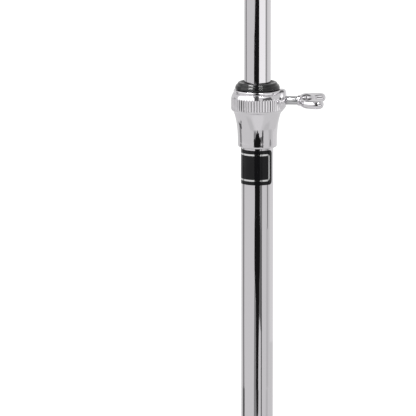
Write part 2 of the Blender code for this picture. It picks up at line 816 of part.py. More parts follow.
def height_boss():
    """The cast boss: it leaves the band in a wide flare and ends in a rounded nose and chin."""
    root = BUSHING_RADIUS + 2 * GAP
    neck = HEIGHT_BOSS_FACE - HEIGHT_BOSS_NOSE
    rings = []
    for i in range(2 * BOSS_STEPS + 1):
        turn = math.radians(90) * max(0, i - BOSS_STEPS) / BOSS_STEPS
        flare = max(0.0, 1 - i / BOSS_STEPS)
        inset = HEIGHT_BOSS_INSET * (1 - math.cos(turn))
        place = neck - (neck - root) * flare + HEIGHT_BOSS_NOSE * math.sin(turn)
        chin = HEIGHT_BOSS_CHIN + HEIGHT_BOSS_SLOPE * (HEIGHT_BOSS_FACE - place)
        side = HEIGHT_BOSS_HALF + HEIGHT_BOSS_FLARE * flare**2 - inset
        above = HEIGHT_BOSS_RISE - inset
        rings.append(boss_station(place, side, above, min(chin, HEIGHT_BOSS_DEPTH)))
    lug = stitched("height_boss", rings, ends=True)
    lug.location.z = HEIGHT_BOSS_HEIGHT
    return lug


def make_height_clamp(stand):
    clamp = pivot_empty("height_clamp", stand, (0.0, 0.0, COLLAR_BOTTOM_HEIGHT))
    collar = collar_body()
    join(collar, height_boss())
    cut(collar, *screw_bore(UPPER_TUBE_RADIUS, HEIGHT_BOSS_FACE, HEIGHT_BOSS_HEIGHT))
    place(finish(collar, CAST_CHROME), clamp)
    make_clamp(
        "height_wing_screw",
        "height_clamp_shoe",
        clamp,
        UPPER_TUBE_RADIUS,
        HEIGHT_BOSS_FACE,
        HEIGHT_BOSS_HEIGHT,
    )
    make_bushing(clamp)
    make_label(clamp)


def make_bushing(clamp):
    """A nylon sleeve inside the collar, with a stepped flange that rests on the collar's lip."""
    base = COLLAR_HEIGHT + GAP
    top = base + BUSHING_FLANGE_HEIGHT
    rim_top = base + BUSHING_RIM_HEIGHT
    rim = NECK_RADIUS + BUSHING_FLANGE_REACH
    disc = rim - BUSHING_RIM_STEP
    profile = rounded(
        [
            (BUSHING_BORE, top),
            (disc, top, BUSHING_DISC_ROUND),
            (disc, rim_top),
            (rim, rim_top, BUSHING_RIM_ROUND),
            (rim, base),
            (BUSHING_RADIUS, base),
            (BUSHING_RADIUS, COLLAR_TUBE_SEAT + GAP),
            (BUSHING_BORE, COLLAR_TUBE_SEAT + GAP),
        ]
    )
    bushing = turned("height_bushing", profile, ring=True)
    hole_middle = (BUSHING_RADIUS, 0.0, HEIGHT_BOSS_HEIGHT)
    cut(bushing, rod("shoe_hole", SHOE_HOLE_RADIUS, BUSHING_RADIUS, ALONG_X, hole_middle))
    place(finish(bushing, BLACK_NYLON), clamp)


def make_label(clamp):
    """A thin band round the tube under the collar, open on the screw's side, with round corners."""
    top = -LABEL_DROP
    bottom = top - LABEL_HEIGHT
    inner = LOWER_TUBE_RADIUS + LABEL_LIFT
    outer = inner + LABEL_THICKNESS
    label = turned(
        "height_label", tube_profile(outer, inner, bottom, top), ring=True
    )
    corner = LABEL_OPEN_HALF + LABEL_CORNER
    half = [
        (corner, bottom - OVERSHOOT),
        *arc((corner, bottom + LABEL_CORNER), LABEL_CORNER, 270, 180),
        *arc((corner, top - LABEL_CORNER), LABEL_CORNER, 180, 90),
        (corner, top + OVERSHOOT),
    ]
    opening = plate("label_opening", mirrored(half), outer)
    opening.data.transform(SECTION_ALONG_X)
    opening.data.transform(Matrix.Translation((outer, 0.0, 0.0)))
    cut(label, opening)
    place(finish(label, LABEL_VINYL), clamp)


# Tripod


def lug(root_half, round_end, width):
    """A fin from the ring's wall out to the pivot, drawn in radius and height."""
    root = RING_RADIUS - RING_WALL / 2
    tip = PIVOT_RADIUS + round_end
    outline = rounded(
        [
            (root, root_half),
            (tip, round_end, round_end),
            (tip, -round_end, round_end),
            (root, -root_half),
        ],
        steps=LUG_STEPS,
    )
    fin = plate("lug", outline, width)
    fin.data.transform(ALONG_Y)
    return fin


def leg_angles():
    return [FIRST_LEG_ANGLE + math.radians(360) * i / LEG_COUNT for i in range(LEG_COUNT)]


def add_lugs(ring, root_half, round_end, width):
    """Joins a lug for each leg to a ring and drills their pivot holes."""
    for angle in leg_angles():
        turn = Matrix.Rotation(angle, 4, "Z")
        fin = lug(root_half, round_end, width)
        fin.data.transform(turn)
        join(ring, fin)
    for angle in leg_angles():
        hole = rod("pivot_hole", RIVET_HOLE_RADIUS, width + 2 * OVERSHOOT, ALONG_Y)
        hole.data.transform(Matrix.Translation((PIVOT_RADIUS, 0.0, 0.0)))
        hole.data.transform(Matrix.Rotation(angle, 4, "Z"))
        cut(ring, hole)


def make_hub(stand):
    hub_frame = pivot_empty("hub", stand, (0.0, 0.0, HUB_PIVOT_HEIGHT))
    profile = rounded(
        [
            (COLLAR_BORE, HUB_HALF_HEIGHT),
            (RING_RADIUS, HUB_HALF_HEIGHT, RING_ROUND),
            (RING_RADIUS, -HUB_HALF_HEIGHT, RING_ROUND),
            (COLLAR_BORE, -HUB_HALF_HEIGHT),
        ],
        steps=1,
    )
    hub = turned("base_hub", profile, sides=CAST_SIDES, ring=True)
    add_lugs(hub, HUB_LUG_ROOT_HALF, HUB_LUG_ROUND, HUB_LUG_WIDTH)
    cut(hub, cross_hole(CROSS_PIN_RADIUS + GAP, RING_RADIUS, HUB_CROSS_PIN_RISE))
    place(finish(hub, CAST_CHROME), hub_frame)
    pin = rod("base_hub_pin", CROSS_PIN_RADIUS, 2 * RING_RADIUS, ALONG_Y)
    place(finish(pin, ZINC), hub_frame, (0.0, 0.0, HUB_CROSS_PIN_RISE))


def make_slider(stand):
    """The leg collar, hung from an empty on its hinge with the first leg."""
    angle = FIRST_LEG_ANGLE
    hinge = (PIVOT_RADIUS * math.cos(angle), PIVOT_RADIUS * math.sin(angle), SLIDER_PIVOT_HEIGHT)
    pivot = pivot_empty("leg_collar_pivot", stand, hinge)
    back = (-hinge[0], -hinge[1], 0.0)
    waist = RING_RADIUS - SLIDER_WAIST_STEP
    profile = rounded(
        [
            (COLLAR_BORE, SLIDER_ABOVE),
            (waist, SLIDER_ABOVE, RING_ROUND),
            (waist, SLIDER_SKIRT_TOP + SLIDER_WAIST_HEIGHT, RING_ROUND),
            (RING_RADIUS, SLIDER_SKIRT_TOP, RING_ROUND / 2),
            (RING_RADIUS, -SLIDER_BELOW, RING_ROUND),
            (COLLAR_BORE, -SLIDER_BELOW),
        ]
    )
    face = RING_RADIUS + SLIDER_BOSS_REACH
    collar = turned("leg_collar", profile, sides=CAST_SIDES, ring=True)
    join(collar, boss(face, SLIDER_BOSS_HEIGHT, COLLAR_BORE + RING_WALL / 4))
    add_lugs(collar, COLLAR_LUG_ROOT_HALF, COLLAR_LUG_ROUND, COLLAR_LUG_WIDTH)
    cut(collar, *screw_bore(LOWER_TUBE_RADIUS, face, SLIDER_BOSS_HEIGHT))
    place(finish(collar, CAST_CHROME), pivot, back)
    centre = pivot_empty("leg_collar_centre", pivot, back)
    make_clamp(
        "leg_wing_screw",
        "leg_clamp_shoe",
        centre,
        LOWER_TUBE_RADIUS,
        face,
        SLIDER_BOSS_HEIGHT,
    )


def channel(name, start, end, width, web, ear):
    """A folded U-channel along X: its web at +Z, its flanges down past -ear, to be trimmed."""
    half = width / 2
    inner = half - CHANNEL_WALL
    low = -ear - OVERSHOOT
    section = rounded(
        [
            (-half, low),
            (-half, web, CHANNEL_BEND + CHANNEL_WALL),
            (half, web, CHANNEL_BEND + CHANNEL_WALL),
            (half, low),
            (inner, low),
            (inner, web - CHANNEL_WALL, CHANNEL_BEND),
            (-inner, web - CHANNEL_WALL, CHANNEL_BEND),
            (-inner, low),
        ],
        steps=BEND_STEPS,
    )
    bar = plate(name, section, end - start)
    bar.data.transform(SECTION_ALONG_X)
    bar.data.transform(Matrix.Translation(((start + end) / 2, 0.0, 0.0)))
    return bar


def side_view(outline, width):
    """A cutter of that outline in X and Z, right across a channel."""
    shape = plate("side_view", outline, width + 2 * OVERSHOOT)
    shape.data.transform(ALONG_Y)
    return shape


def ear_outline(start, end, web, ear, start_web, end_web):
    """A bar's side view: round ears of that radius at its pivots, and its web between them.

    start_web and end_web are how far from each end's pivot the web begins. None keeps the end plain.
    """
    over = web + OVERSHOOT
    left = [
        (start - ear, -ear, ear),
        (start - ear, ear, ear),
        (start + start_web, ear, CHANNEL_BEND),
        (start + start_web + web - ear, over),
    ]
    if end_web is None:
        right = [(end + OVERSHOOT, over), (end + OVERSHOOT, -ear)]
    else:
        right = [
            (end - end_web - web + ear, over),
            (end - end_web, ear, CHANNEL_BEND),
            (end + ear, ear, ear),
            (end + ear, -ear, ear),
        ]
    return rounded(left + right, steps=EAR_STEPS)


def pivot_hole(x, width):
    return rod("pivot_hole", RIVET_HOLE_RADIUS, width + 2 * OVERSHOOT, ALONG_Y, (x, 0.0, 0.0))


def intersect(piece, tool):
    combine(piece, tool, "INTERSECT")


def make_brace_shape():
    """A brace from its hub pivot, at the origin, to its leg pivot. Its web is at local +Z."""
    past_ear = BRACE_EAR + OVERSHOOT
    bar = channel(
        "brace_1", -past_ear, BRACE_LENGTH + past_ear, BRACE_WIDTH, BRACE_WEB, BRACE_EAR
    )
    web_start = HUB_LUG_ROUND + WEB_CLEARANCE
    outline = ear_outline(0.0, BRACE_LENGTH, BRACE_WEB, BRACE_EAR, web_start, web_start)
    intersect(bar, side_view(outline, BRACE_WIDTH))
    cut(bar, pivot_hole(0.0, BRACE_WIDTH), pivot_hole(BRACE_LENGTH, BRACE_WIDTH))
    return finish(bar, CHROME)


def make_leg_shape():
    """A leg from its collar pivot, at x = -BRACE_LENGTH, to its end, with the brace's at 0."""
    start = -BRACE_LENGTH
    end = LEG_LENGTH - BRACE_LENGTH
    bar = channel("leg_1", start - LEG_EAR - OVERSHOOT, end, LEG_WIDTH, LEG_WEB, LEG_EAR)
    web_start = COLLAR_LUG_ROUND + WEB_CLEARANCE
    outline = ear_outline(start, end, LEG_WEB, LEG_EAR, web_start, None)
    intersect(bar, side_view(outline, LEG_WIDTH))
    cut(bar, pivot_hole(start, LEG_WIDTH), pivot_hole(0.0, LEG_WIDTH))
    return finish(bar, CHROME)


def sole_depth(x):
    """Where the floor crosses the leg's own frame, x along the leg from its end."""
    return (x * math.cos(SPREAD_ANGLE) - LEG_END_HEIGHT) / math.sin(SPREAD_ANGLE)


def make_foot_shape():
    """A rubber boot on the leg's end, at the origin, cut flat where it stands on the floor."""
    back = FOOT_NOSE - FOOT_LENGTH
    under = -LEG_EAR - GAP - FOOT_TOP_WALL
    toe = FOOT_NOSE - FOOT_ROUND / 2
    heel = toe - FOOT_SOLE * math.sin(SPREAD_ANGLE)
    outline = rounded(
        [
            (back, FOOT_TOP, FOOT_ROUND),
            (back, under, FOOT_ROUND),
            (heel - FOOT_ROUND, under, FOOT_ROUND),
            (heel, sole_depth(heel), FOOT_ROUND),
            (toe, sole_depth(toe), FOOT_ROUND),
            (FOOT_NOSE, 0.0, FOOT_ROUND),
            (FOOT_NOSE, FOOT_TOP, FOOT_NOSE_ROUND),
        ]
    )
    foot = plate("foot_1", outline, 2 * FOOT_HALF_WIDTH)
    foot.data.transform(ALONG_Y)
    round_edges(foot, FOOT_EDGE_ROUND, segments=1)
    room = LEG_WIDTH / 2 + GAP
    socket_low = (back - OVERSHOOT, -room, -LEG_EAR - GAP)
    cut(foot, block("leg_socket", socket_low, (GAP, room, LEG_WEB + GAP)))
    return finish(foot, BLACK_RUBBER)


def make_rivet_shape():
    """A rivet along Y through the leg's width, with a low round head on each side."""
    half = LEG_WIDTH / 2 + GAP
    top = half + RIVET_HEAD_HEIGHT
    head = rounded(
        [
            (0.0, top),
            (RIVET_HEAD_RADIUS, top, RIVET_HEAD_HEIGHT),
            (RIVET_HEAD_RADIUS, half),
            (RIVET_RADIUS, half),
        ],
        closed=False,
        steps=1,
    )
    profile = head + [(radius, -height) for radius, height in reversed(head)]
    rivet = finish(turned("leg_rivet_1", profile, sides=PIN_SIDES), ZINC)
    rivet.data.transform(ALONG_Y)
    return rivet


def make_tripod(stand):
    brace = make_brace_shape()
    leg = make_leg_shape()
    foot = make_foot_shape()
    rivet = make_rivet_shape()
    pin = finish(rod("brace_pin_1", RIVET_RADIUS, BRACE_WIDTH - GAP / 2, ALONG_Y), ZINC)
    tilt = math.radians(90) - SPREAD_ANGLE
    knee = (
        PIVOT_RADIUS + BRACE_LENGTH * math.sin(SPREAD_ANGLE),
        0.0,
        HUB_PIVOT_HEIGHT + BRACE_LENGTH * math.cos(SPREAD_ANGLE),
    )
    for number, angle in enumerate(leg_angles(), start=1):
        spoke = pivot_empty(f"leg_{number}_plane", stand, rotation=(0.0, 0.0, angle))
        first = number == 1
        this_brace = brace if first else twin(f"brace_{number}", brace)
        this_leg = leg if first else twin(f"leg_{number}", leg)
        this_foot = foot if first else twin(f"foot_{number}", foot)
        this_pin = pin if first else twin(f"brace_pin_{number}", pin)
        top_rivet = rivet if first else twin(f"leg_rivet_{number}", rivet)
        knee_rivet = twin(f"brace_rivet_{number}", rivet)
        hub_pivot = (PIVOT_RADIUS, 0.0, HUB_PIVOT_HEIGHT)
        place(this_brace, spoke, hub_pivot, (math.pi, -tilt, 0.0))
        place(this_pin, spoke, hub_pivot)
        place(this_leg, spoke, knee, (0.0, tilt, 0.0))
        place(this_foot, this_leg, (LEG_LENGTH - BRACE_LENGTH, 0.0, 0.0))
        place(knee_rivet, this_leg)
        place(top_rivet, spoke, (PIVOT_RADIUS, 0.0, SLIDER_PIVOT_HEIGHT))


# Tilter


def cheek(x_low, x_high):
    """A round cheek of the tilter's joint between two places along X, with rounded rims."""
    length = x_high - x_low
    disc = rod(
        "cheek",
        CHEEK_RADIUS,
        length,
        ALONG_X,
        ((x_low + x_high) / 2, 0.0, 0.0),
        sides=CAST_SIDES,
    )
    return round_edges(disc, CHEEK_ROUND, segments=1)


def cheek_neck(x_low, x_high, z_root):
    """The web between a cheek and what it stands on, from z_root to inside the cheek."""
    inside = math.copysign(CHEEK_RADIUS / 2, z_root)
    outline = [
        (-CHEEK_NECK_HALF, z_root),
        (CHEEK_NECK_HALF, z_root),
        (CHEEK_NECK_HALF + CHEEK_ROUND, inside),
        (-CHEEK_NECK_HALF - CHEEK_ROUND, inside),
    ]
    neck = plate("neck", outline, x_high - x_low - 2 * CHEEK_ROUND)
    neck.data.transform(SECTION_ALONG_X)
    neck.data.transform(Matrix.Translation(((x_low + x_high) / 2, 0.0, 0.0)))
    return neck


def tilter_screw_hole():
    return rod("screw_hole", SCREW_HOLE_RADIUS, 4 * CHEEK_BACK, ALONG_X)


def make_tilter_base(tilter):
    tube_top = -TILT_PIVOT_RISE
    bore = UPPER_TUBE_RADIUS + GAP
    radius = bore + TILTER_SLEEVE_WALL
    bottom = tube_top - TILTER_SLEEVE_DEPTH
    top = tube_top + TILTER_SLEEVE_CAP
    profile = rounded(
        [
            (0.0, top),
            (radius, top, TILTER_SLEEVE_CAP / 2),
            (radius, bottom, TILTER_SLEEVE_ROUND),
            (bore, bottom),
            (bore, tube_top + GAP),
            (0.0, tube_top + GAP),
        ],
        closed=False,
    )
    base = turned("tilter_base", profile, sides=CAST_SIDES)
    root = top - TILTER_SLEEVE_CAP / 3
    join(base, cheek_neck(-CHEEK_BACK, -CHEEK_FACE, root), cheek(-CHEEK_BACK, -CHEEK_FACE))
    pin_height = tube_top + TILTER_PIN_HEIGHT
    cut(base, tilter_screw_hole(), cross_hole(TILTER_PIN_RADIUS + GAP, radius, pin_height))
    place(finish(base, CAST_CHROME), tilter)
    pin = rod("tilter_pin", TILTER_PIN_RADIUS, 2 * radius, ALONG_Y)
    place(finish(pin, ZINC), tilter, (0.0, 0.0, pin_height))


def make_tilter_head(tilter):
    stud_room = STUD_RADIUS + GAP
    flange_base = PLATFORM_BASE + PLATFORM_HUB_HEIGHT
    profile = rounded(
        [
            (0.0, PLATFORM_TOP - STUD_ROOT - GAP),
            (stud_room, PLATFORM_TOP - STUD_ROOT - GAP),
            (stud_room, PLATFORM_TOP),
            (PLATFORM_RADIUS, PLATFORM_TOP, PLATFORM_ROUND),
            (PLATFORM_RADIUS, flange_base, PLATFORM_ROUND),
            (PLATFORM_HUB_RADIUS, flange_base - CHEEK_ROUND, CHEEK_ROUND),
            (PLATFORM_HUB_RADIUS, PLATFORM_BASE),
            (0.0, PLATFORM_BASE),
        ],
        closed=False,
        steps=1,
    )
    head = turned("tilter_head", profile, sides=CAST_SIDES)
    root = PLATFORM_BASE + PLATFORM_GAP
    join(head, cheek_neck(CHEEK_FACE, CHEEK_BACK, root), cheek(CHEEK_FACE, CHEEK_BACK))
    cut(head, tilter_screw_hole())
    place(finish(head, CAST_CHROME), tilter)


def washer(name, radius, bore, thickness):
    """A round washer on Z, from z = 0 up."""
    profile = tube_profile(radius, bore, 0.0, thickness)
    return turned(name, profile, sides=CAST_SIDES, ring=True)


def make_tilter_screw(tilter):
    friction = washer(
        "tilter_friction_washer",
        FRICTION_WASHER_RADIUS,
        SCREW_HOLE_RADIUS,
        FRICTION_WASHER_THICKNESS,
    )
    start = (-FRICTION_WASHER_THICKNESS / 2, 0.0, 0.0)
    place(finish(friction, WHITE_NYLON), tilter, start, OUTWARD_X)
    under_head = washer(
        "tilter_washer", SCREW_WASHER_RADIUS, SCREW_HOLE_RADIUS, SCREW_WASHER_THICKNESS
    )
    washer_face = CHEEK_BACK + GAP
    place(finish(under_head, ZINC), tilter, (washer_face, 0.0, 0.0), OUTWARD_X)
    head = washer_face + SCREW_WASHER_THICKNESS + GAP + WING_HUB_FLARE
    screw = wing_screw("tilter_wing_screw", head + CHEEK_BACK)
    place(screw, tilter, (head, 0.0, 0.0), OUTWARD_X)


def make_pad_fixing(tilter):
    make_pad_stud(tilter)
    nut = lock_nut()
    place(finish(nut, ZINC), tilter, (0.0, 0.0, NUT_BASE))
    disc = washer("pad_washer", PAD_WASHER_RADIUS, STUD_RADIUS + GAP, PAD_WASHER_THICKNESS)
    place(finish(disc, ZINC), tilter, (0.0, 0.0, NUT_BASE + NUT_HEIGHT + GAP))


def make_pad_stud(tilter):
    profile = [
        (0.0, STUD_LENGTH),
        (STUD_RADIUS - STUD_CHAMFER, STUD_LENGTH),
        (STUD_RADIUS, STUD_LENGTH - STUD_CHAMFER),
        (STUD_RADIUS, -STUD_ROOT),
        (0.0, -STUD_ROOT),
    ]
    stud = finish(turned("pad_stud", profile, sides=BOSS_SIDES), ZINC)
    place(stud, tilter, (0.0, 0.0, PLATFORM_TOP))


def lock_nut():
    """A hexagon nut on Z, from z = 0 up, with its corners chamfered on both faces."""
    corner = NUT_WIDTH / 2 / math.cos(math.pi / NUT_SIDES)
    middle = (0.0, 0.0, NUT_HEIGHT / 2)
    nut = rod("pad_lock_nut", corner, NUT_HEIGHT, centre=middle, sides=NUT_SIDES)
    start = NUT_WIDTH / 2 - NUT_CHAMFER_START
    above = OVERSHOOT * NUT_CHAMFER_SLOPE
    below = (corner + OVERSHOOT - start) * NUT_CHAMFER_SLOPE
    envelope = turned(
        "chamfers",
        [
            (0.0, NUT_HEIGHT + above),
            (start - OVERSHOOT, NUT_HEIGHT + above),
            (corner + OVERSHOOT, NUT_HEIGHT - below),
            (corner + OVERSHOOT, below),
            (start - OVERSHOOT, -above),
            (0.0, -above),
        ],
        sides=CAST_SIDES,
    )
    intersect(nut, envelope)
    hole = rod(
        "nut_bore", STUD_RADIUS + GAP, NUT_HEIGHT + 2 * OVERSHOOT, centre=middle, sides=BOSS_SIDES
    )
    cut(nut, hole)
    return nut


def main():
    stand = pivot_empty("stand_axis", location=(STAND_OFFSET, 0.0, 0.0))
    make_lower_tube(stand)
    make_end_cap(stand)
    make_height_clamp(stand)
    make_hub(stand)
    make_slider(stand)
    make_tripod(stand)
    upper = pivot_empty("upper_tube_top", stand, (0.0, 0.0, UPPER_TUBE_TOP_HEIGHT))
    make_upper_tube(upper)
    make_tube_guide(upper)
    tilter = pivot_empty("tilter_pivot", stand, (0.0, 0.0, TILT_PIVOT_HEIGHT))
    make_tilter_base(tilter)
    make_tilter_head(tilter)
    make_tilter_screw(tilter)
    make_pad_fixing(tilter)


main()
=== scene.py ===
"""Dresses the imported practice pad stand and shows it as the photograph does.

Metres, +Z up. Shapes are written in millimetres and scaled by MM. The camera looks at the
height clamp through a long lens, and cards that only reflections see stand for the studio.
"""

import json
import math

import bmesh
import bpy
from mathutils import Matrix, Vector

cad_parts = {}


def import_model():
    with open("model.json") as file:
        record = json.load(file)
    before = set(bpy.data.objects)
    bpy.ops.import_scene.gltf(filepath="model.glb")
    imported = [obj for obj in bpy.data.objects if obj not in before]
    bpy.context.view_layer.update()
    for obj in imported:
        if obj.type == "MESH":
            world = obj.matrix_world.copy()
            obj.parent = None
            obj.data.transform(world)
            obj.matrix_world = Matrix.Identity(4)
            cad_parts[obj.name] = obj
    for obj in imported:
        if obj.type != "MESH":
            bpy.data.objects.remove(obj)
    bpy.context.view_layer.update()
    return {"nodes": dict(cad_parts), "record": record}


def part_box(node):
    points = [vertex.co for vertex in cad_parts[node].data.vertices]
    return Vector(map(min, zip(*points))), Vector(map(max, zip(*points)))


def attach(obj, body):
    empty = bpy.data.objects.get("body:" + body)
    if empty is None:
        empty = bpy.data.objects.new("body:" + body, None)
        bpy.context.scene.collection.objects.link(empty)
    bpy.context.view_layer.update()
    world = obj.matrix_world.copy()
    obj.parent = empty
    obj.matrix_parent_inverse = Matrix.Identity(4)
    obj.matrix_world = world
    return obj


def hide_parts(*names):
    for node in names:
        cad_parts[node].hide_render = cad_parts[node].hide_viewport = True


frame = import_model()

MM = 0.001
NODES = frame["nodes"]
SMOOTH_ANGLE = math.radians(46)


def middle(node):
    low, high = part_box(node)
    return (low + high) / 2


AXIS_X = middle("lower_tube").x
COLLAR_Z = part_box("height_collar")[0].z
LABEL_LOW, LABEL_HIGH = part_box("height_label")


# Materials


class Shader:
    """Builds one Principled material and the noise that varies it."""

    def __init__(self, name, colour, metallic, roughness):
        self.material = bpy.data.materials.new(name)
        self.material.use_nodes = True
        self.nodes = self.material.node_tree.nodes
        self.links = self.material.node_tree.links
        self.principled = self.nodes["Principled BSDF"]
        self.set("Base Color", (*colour, 1.0))
        self.set("Metallic", metallic)
        self.set("Roughness", roughness)
        self.coordinates = self.nodes.new("ShaderNodeTexCoord").outputs["Object"]

    def set(self, socket, value):
        self.principled.inputs[socket].default_value = value

    def link(self, value, socket):
        self.links.new(value, self.principled.inputs[socket])

    def noise(self, scale, detail=4.0, stretch=(1.0, 1.0, 1.0)):
        mapping = self.nodes.new("ShaderNodeMapping")
        mapping.inputs["Scale"].default_value = stretch
        self.links.new(self.coordinates, mapping.inputs["Vector"])
        texture = self.nodes.new("ShaderNodeTexNoise")
        texture.inputs["Scale"].default_value = scale
        texture.inputs["Detail"].default_value = detail
        self.links.new(mapping.outputs[0], texture.inputs["Vector"])
        return texture.outputs["Fac"]

    def spread(self, value, low, high, start=0.35, end=0.65):
        change = self.nodes.new("ShaderNodeMapRange")
        change.inputs["From Min"].default_value = start
        change.inputs["From Max"].default_value = end
        change.inputs["To Min"].default_value = low
        change.inputs["To Max"].default_value = high
        self.links.new(value, change.inputs["Value"])
        return change.outputs[0]

    def roughen(self, scale, low, high, stretch=(1.0, 1.0, 1.0)):
        self.link(self.spread(self.noise(scale, stretch=stretch), low, high), "Roughness")
        return self

    def tint(self, scale, dark, light, stretch=(1.0, 1.0, 1.0)):
        """Varies the base colour between two colours."""
        mix = self.nodes.new("ShaderNodeMix")
        mix.data_type = "RGBA"
        mix.inputs[6].default_value = (*dark, 1.0)
        mix.inputs[7].default_value = (*light, 1.0)
        share = self.spread(self.noise(scale, stretch=stretch), 0.0, 1.0)
        self.links.new(share, mix.inputs[0])
        self.link(mix.outputs[2], "Base Color")
        return self

    def bump(self, scale, depth, stretch=(1.0, 1.0, 1.0), detail=4.0, edge=0.0):
        """Fine relief from noise, over sharp edges softened to that radius."""
        bump = self.nodes.new("ShaderNodeBump")
        if edge:
            bevel = self.nodes.new("ShaderNodeBevel")
            bevel.samples = 6
            bevel.inputs["Radius"].default_value = edge
            self.links.new(bevel.outputs[0], bump.inputs["Normal"])
        bump.inputs["Distance"].default_value = depth
        bump.inputs["Strength"].default_value = 1.0
        self.links.new(self.noise(scale, detail, stretch), bump.inputs["Height"])
        self.link(bump.outputs[0], "Normal")
        return self

    def math(self, operation, first, second=0.0):
        node = self.nodes.new("ShaderNodeMath")
        node.operation = operation
        for socket, value in zip(node.inputs, (first, second)):
            if isinstance(value, (int, float)):
                socket.default_value = value
            else:
                self.links.new(value, socket)
        return node.outputs[0]


def chrome():
    """Bright plate on tube: faint haze and the slow waves of a drawn tube."""
    shader = Shader("chrome", (0.735, 0.718, 0.742), 1.0, 0.04)
    return shader.roughen(70, 0.015, 0.05).bump(28, 0.002 * MM, (1.0, 1.0, 0.12), 1.0)


def cast_chrome():
    """Plate on a casting: softer, with a slight orange peel."""
    shader = Shader("cast_chrome", (0.735, 0.718, 0.742), 1.0, 0.05)
    return shader.roughen(120, 0.02, 0.075).bump(240, 0.003 * MM, detail=1.0)


def zinc():
    """Zinc plate on steel: satin, a little warm, with fine drawing marks."""
    shader = Shader("zinc", (0.55, 0.55, 0.56), 1.0, 0.25).roughen(200, 0.16, 0.3)
    return shader.tint(110, (0.5, 0.5, 0.51), (0.58, 0.58, 0.59)).bump(700, 0.004 * MM, edge=0.3 * MM)


def black_nylon():
    """Moulded nylon: dark and fairly glossy, with a fine mould grain."""
    shader = Shader("black_nylon", (0.008, 0.008, 0.009), 0.0, 0.16)
    shader.tint(150, (0.005, 0.005, 0.006), (0.010, 0.010, 0.011))
    return shader.roughen(260, 0.04, 0.08).bump(900, 0.003 * MM)


def white_nylon():
    shader = Shader("white_nylon", (0.74, 0.72, 0.66), 0.0, 0.45)
    shader.tint(120, (0.70, 0.68, 0.61), (0.77, 0.75, 0.69))
    return shader.roughen(200, 0.38, 0.5).bump(600, 0.008 * MM, edge=0.2 * MM)


def rubber():
    """Moulded rubber: matt, with a bloom of grey and a fine texture."""
    shader = Shader("rubber", (0.02, 0.02, 0.02), 0.0, 0.7)
    shader.tint(90, (0.014, 0.014, 0.014), (0.032, 0.032, 0.031))
    return shader.roughen(240, 0.55, 0.78).bump(800, 0.05 * MM, edge=0.5 * MM)


LABEL_INSET = 2.7
LABEL_LINE = 0.5
LABEL_CORNER = 1.4
LABEL_RADIUS = 9.825
LABEL_GAP = 25.9
LABEL_THICK = 0.2
LABEL_ROUND = 2.2
LABEL_RAISE = 0.5


def keyline(shader):
    """One where the label's bare line runs, parallel to its edge, and nought elsewhere."""
    split = shader.nodes.new("ShaderNodeSeparateXYZ")
    shader.links.new(shader.coordinates, split.inputs[0])
    height = (LABEL_HIGH.z - LABEL_LOW.z) / MM
    half_arc = math.radians(180 - LABEL_GAP) * LABEL_RADIUS
    across = shader.math("SUBTRACT", AXIS_X, split.outputs["X"])
    turn = shader.math("ARCTAN2", split.outputs["Y"], across)
    along = shader.math("MULTIPLY", shader.math("ABSOLUTE", turn), LABEL_RADIUS)
    label_middle = (LABEL_LOW.z + LABEL_HIGH.z) / 2 + LABEL_RAISE * MM
    up = shader.math("SUBTRACT", split.outputs["Z"], label_middle)
    up = shader.math("MULTIPLY", shader.math("ABSOLUTE", up), 1 / MM)
    right = half_arc - LABEL_INSET - LABEL_CORNER
    top = height / 2 - LABEL_INSET - LABEL_CORNER
    past_side = shader.math("MAXIMUM", shader.math("SUBTRACT", along, right), 0.0)
    past_top = shader.math("MAXIMUM", shader.math("SUBTRACT", up, top), 0.0)
    squares = [shader.math("POWER", past, 2.0) for past in (past_side, past_top)]
    reach = shader.math("SQRT", shader.math("ADD", *squares))
    off_line = shader.math("ABSOLUTE", shader.math("SUBTRACT", reach, LABEL_CORNER))
    return shader.math("LESS_THAN", off_line, LABEL_LINE)


def label():
    """Black print on bright foil, with a plain line of the foil left bare round it."""
    shader = Shader("label", (0.008, 0.008, 0.009), 0.0, 0.2)
    shader.set("Specular IOR Level", 0.2)
    line = keyline(shader)
    mix = shader.nodes.new("ShaderNodeMix")
    mix.data_type = "RGBA"
    mix.inputs[6].default_value = (0.008, 0.008, 0.009, 1.0)
    mix.inputs[7].default_value = (0.78, 0.78, 0.78, 1.0)
    shader.links.new(line, mix.inputs[0])
    shader.link(mix.outputs[2], "Base Color")
    shader.link(line, "Metallic")
    return shader.roughen(180, 0.06, 0.12)


MATERIALS = {
    build.__name__: build().material
    for build in (chrome, cast_chrome, zinc, black_nylon, white_nylon, rubber, label)
}


# CAD nodes that stay


def smoothing_group():
    """Welds a faceted mesh and shades it smooth, but for its sharp edges."""
    group = bpy.data.node_groups.new("smooth_facets", "GeometryNodeTree")
    for direction in ("INPUT", "OUTPUT"):
        group.interface.new_socket(
            "Geometry", in_out=direction, socket_type="NodeSocketGeometry"
        )
    nodes = group.nodes
    links = group.links
    source = nodes.new("NodeGroupInput")
    merge = nodes.new("GeometryNodeMergeByDistance")
    merge.inputs["Distance"].default_value = 0.003 * MM
    angle = nodes.new("GeometryNodeInputMeshEdgeAngle")
    sharp = nodes.new("FunctionNodeCompare")
    sharp.operation = "LESS_THAN"
    sharp.inputs[1].default_value = SMOOTH_ANGLE
    faces = nodes.new("GeometryNodeSetShadeSmooth")
    faces.domain = "FACE"
    edges = nodes.new("GeometryNodeSetShadeSmooth")
    edges.domain = "EDGE"
    result = nodes.new("NodeGroupOutput")
    links.new(source.outputs[0], merge.inputs["Geometry"])
    links.new(merge.outputs[0], faces.inputs["Geometry"])
    links.new(faces.outputs[0], edges.inputs["Geometry"])
    links.new(angle.outputs["Unsigned Angle"], sharp.inputs[0])
    links.new(sharp.outputs[0], edges.inputs["Shade Smooth"])
    links.new(edges.outputs[0], result.inputs[0])
    return group


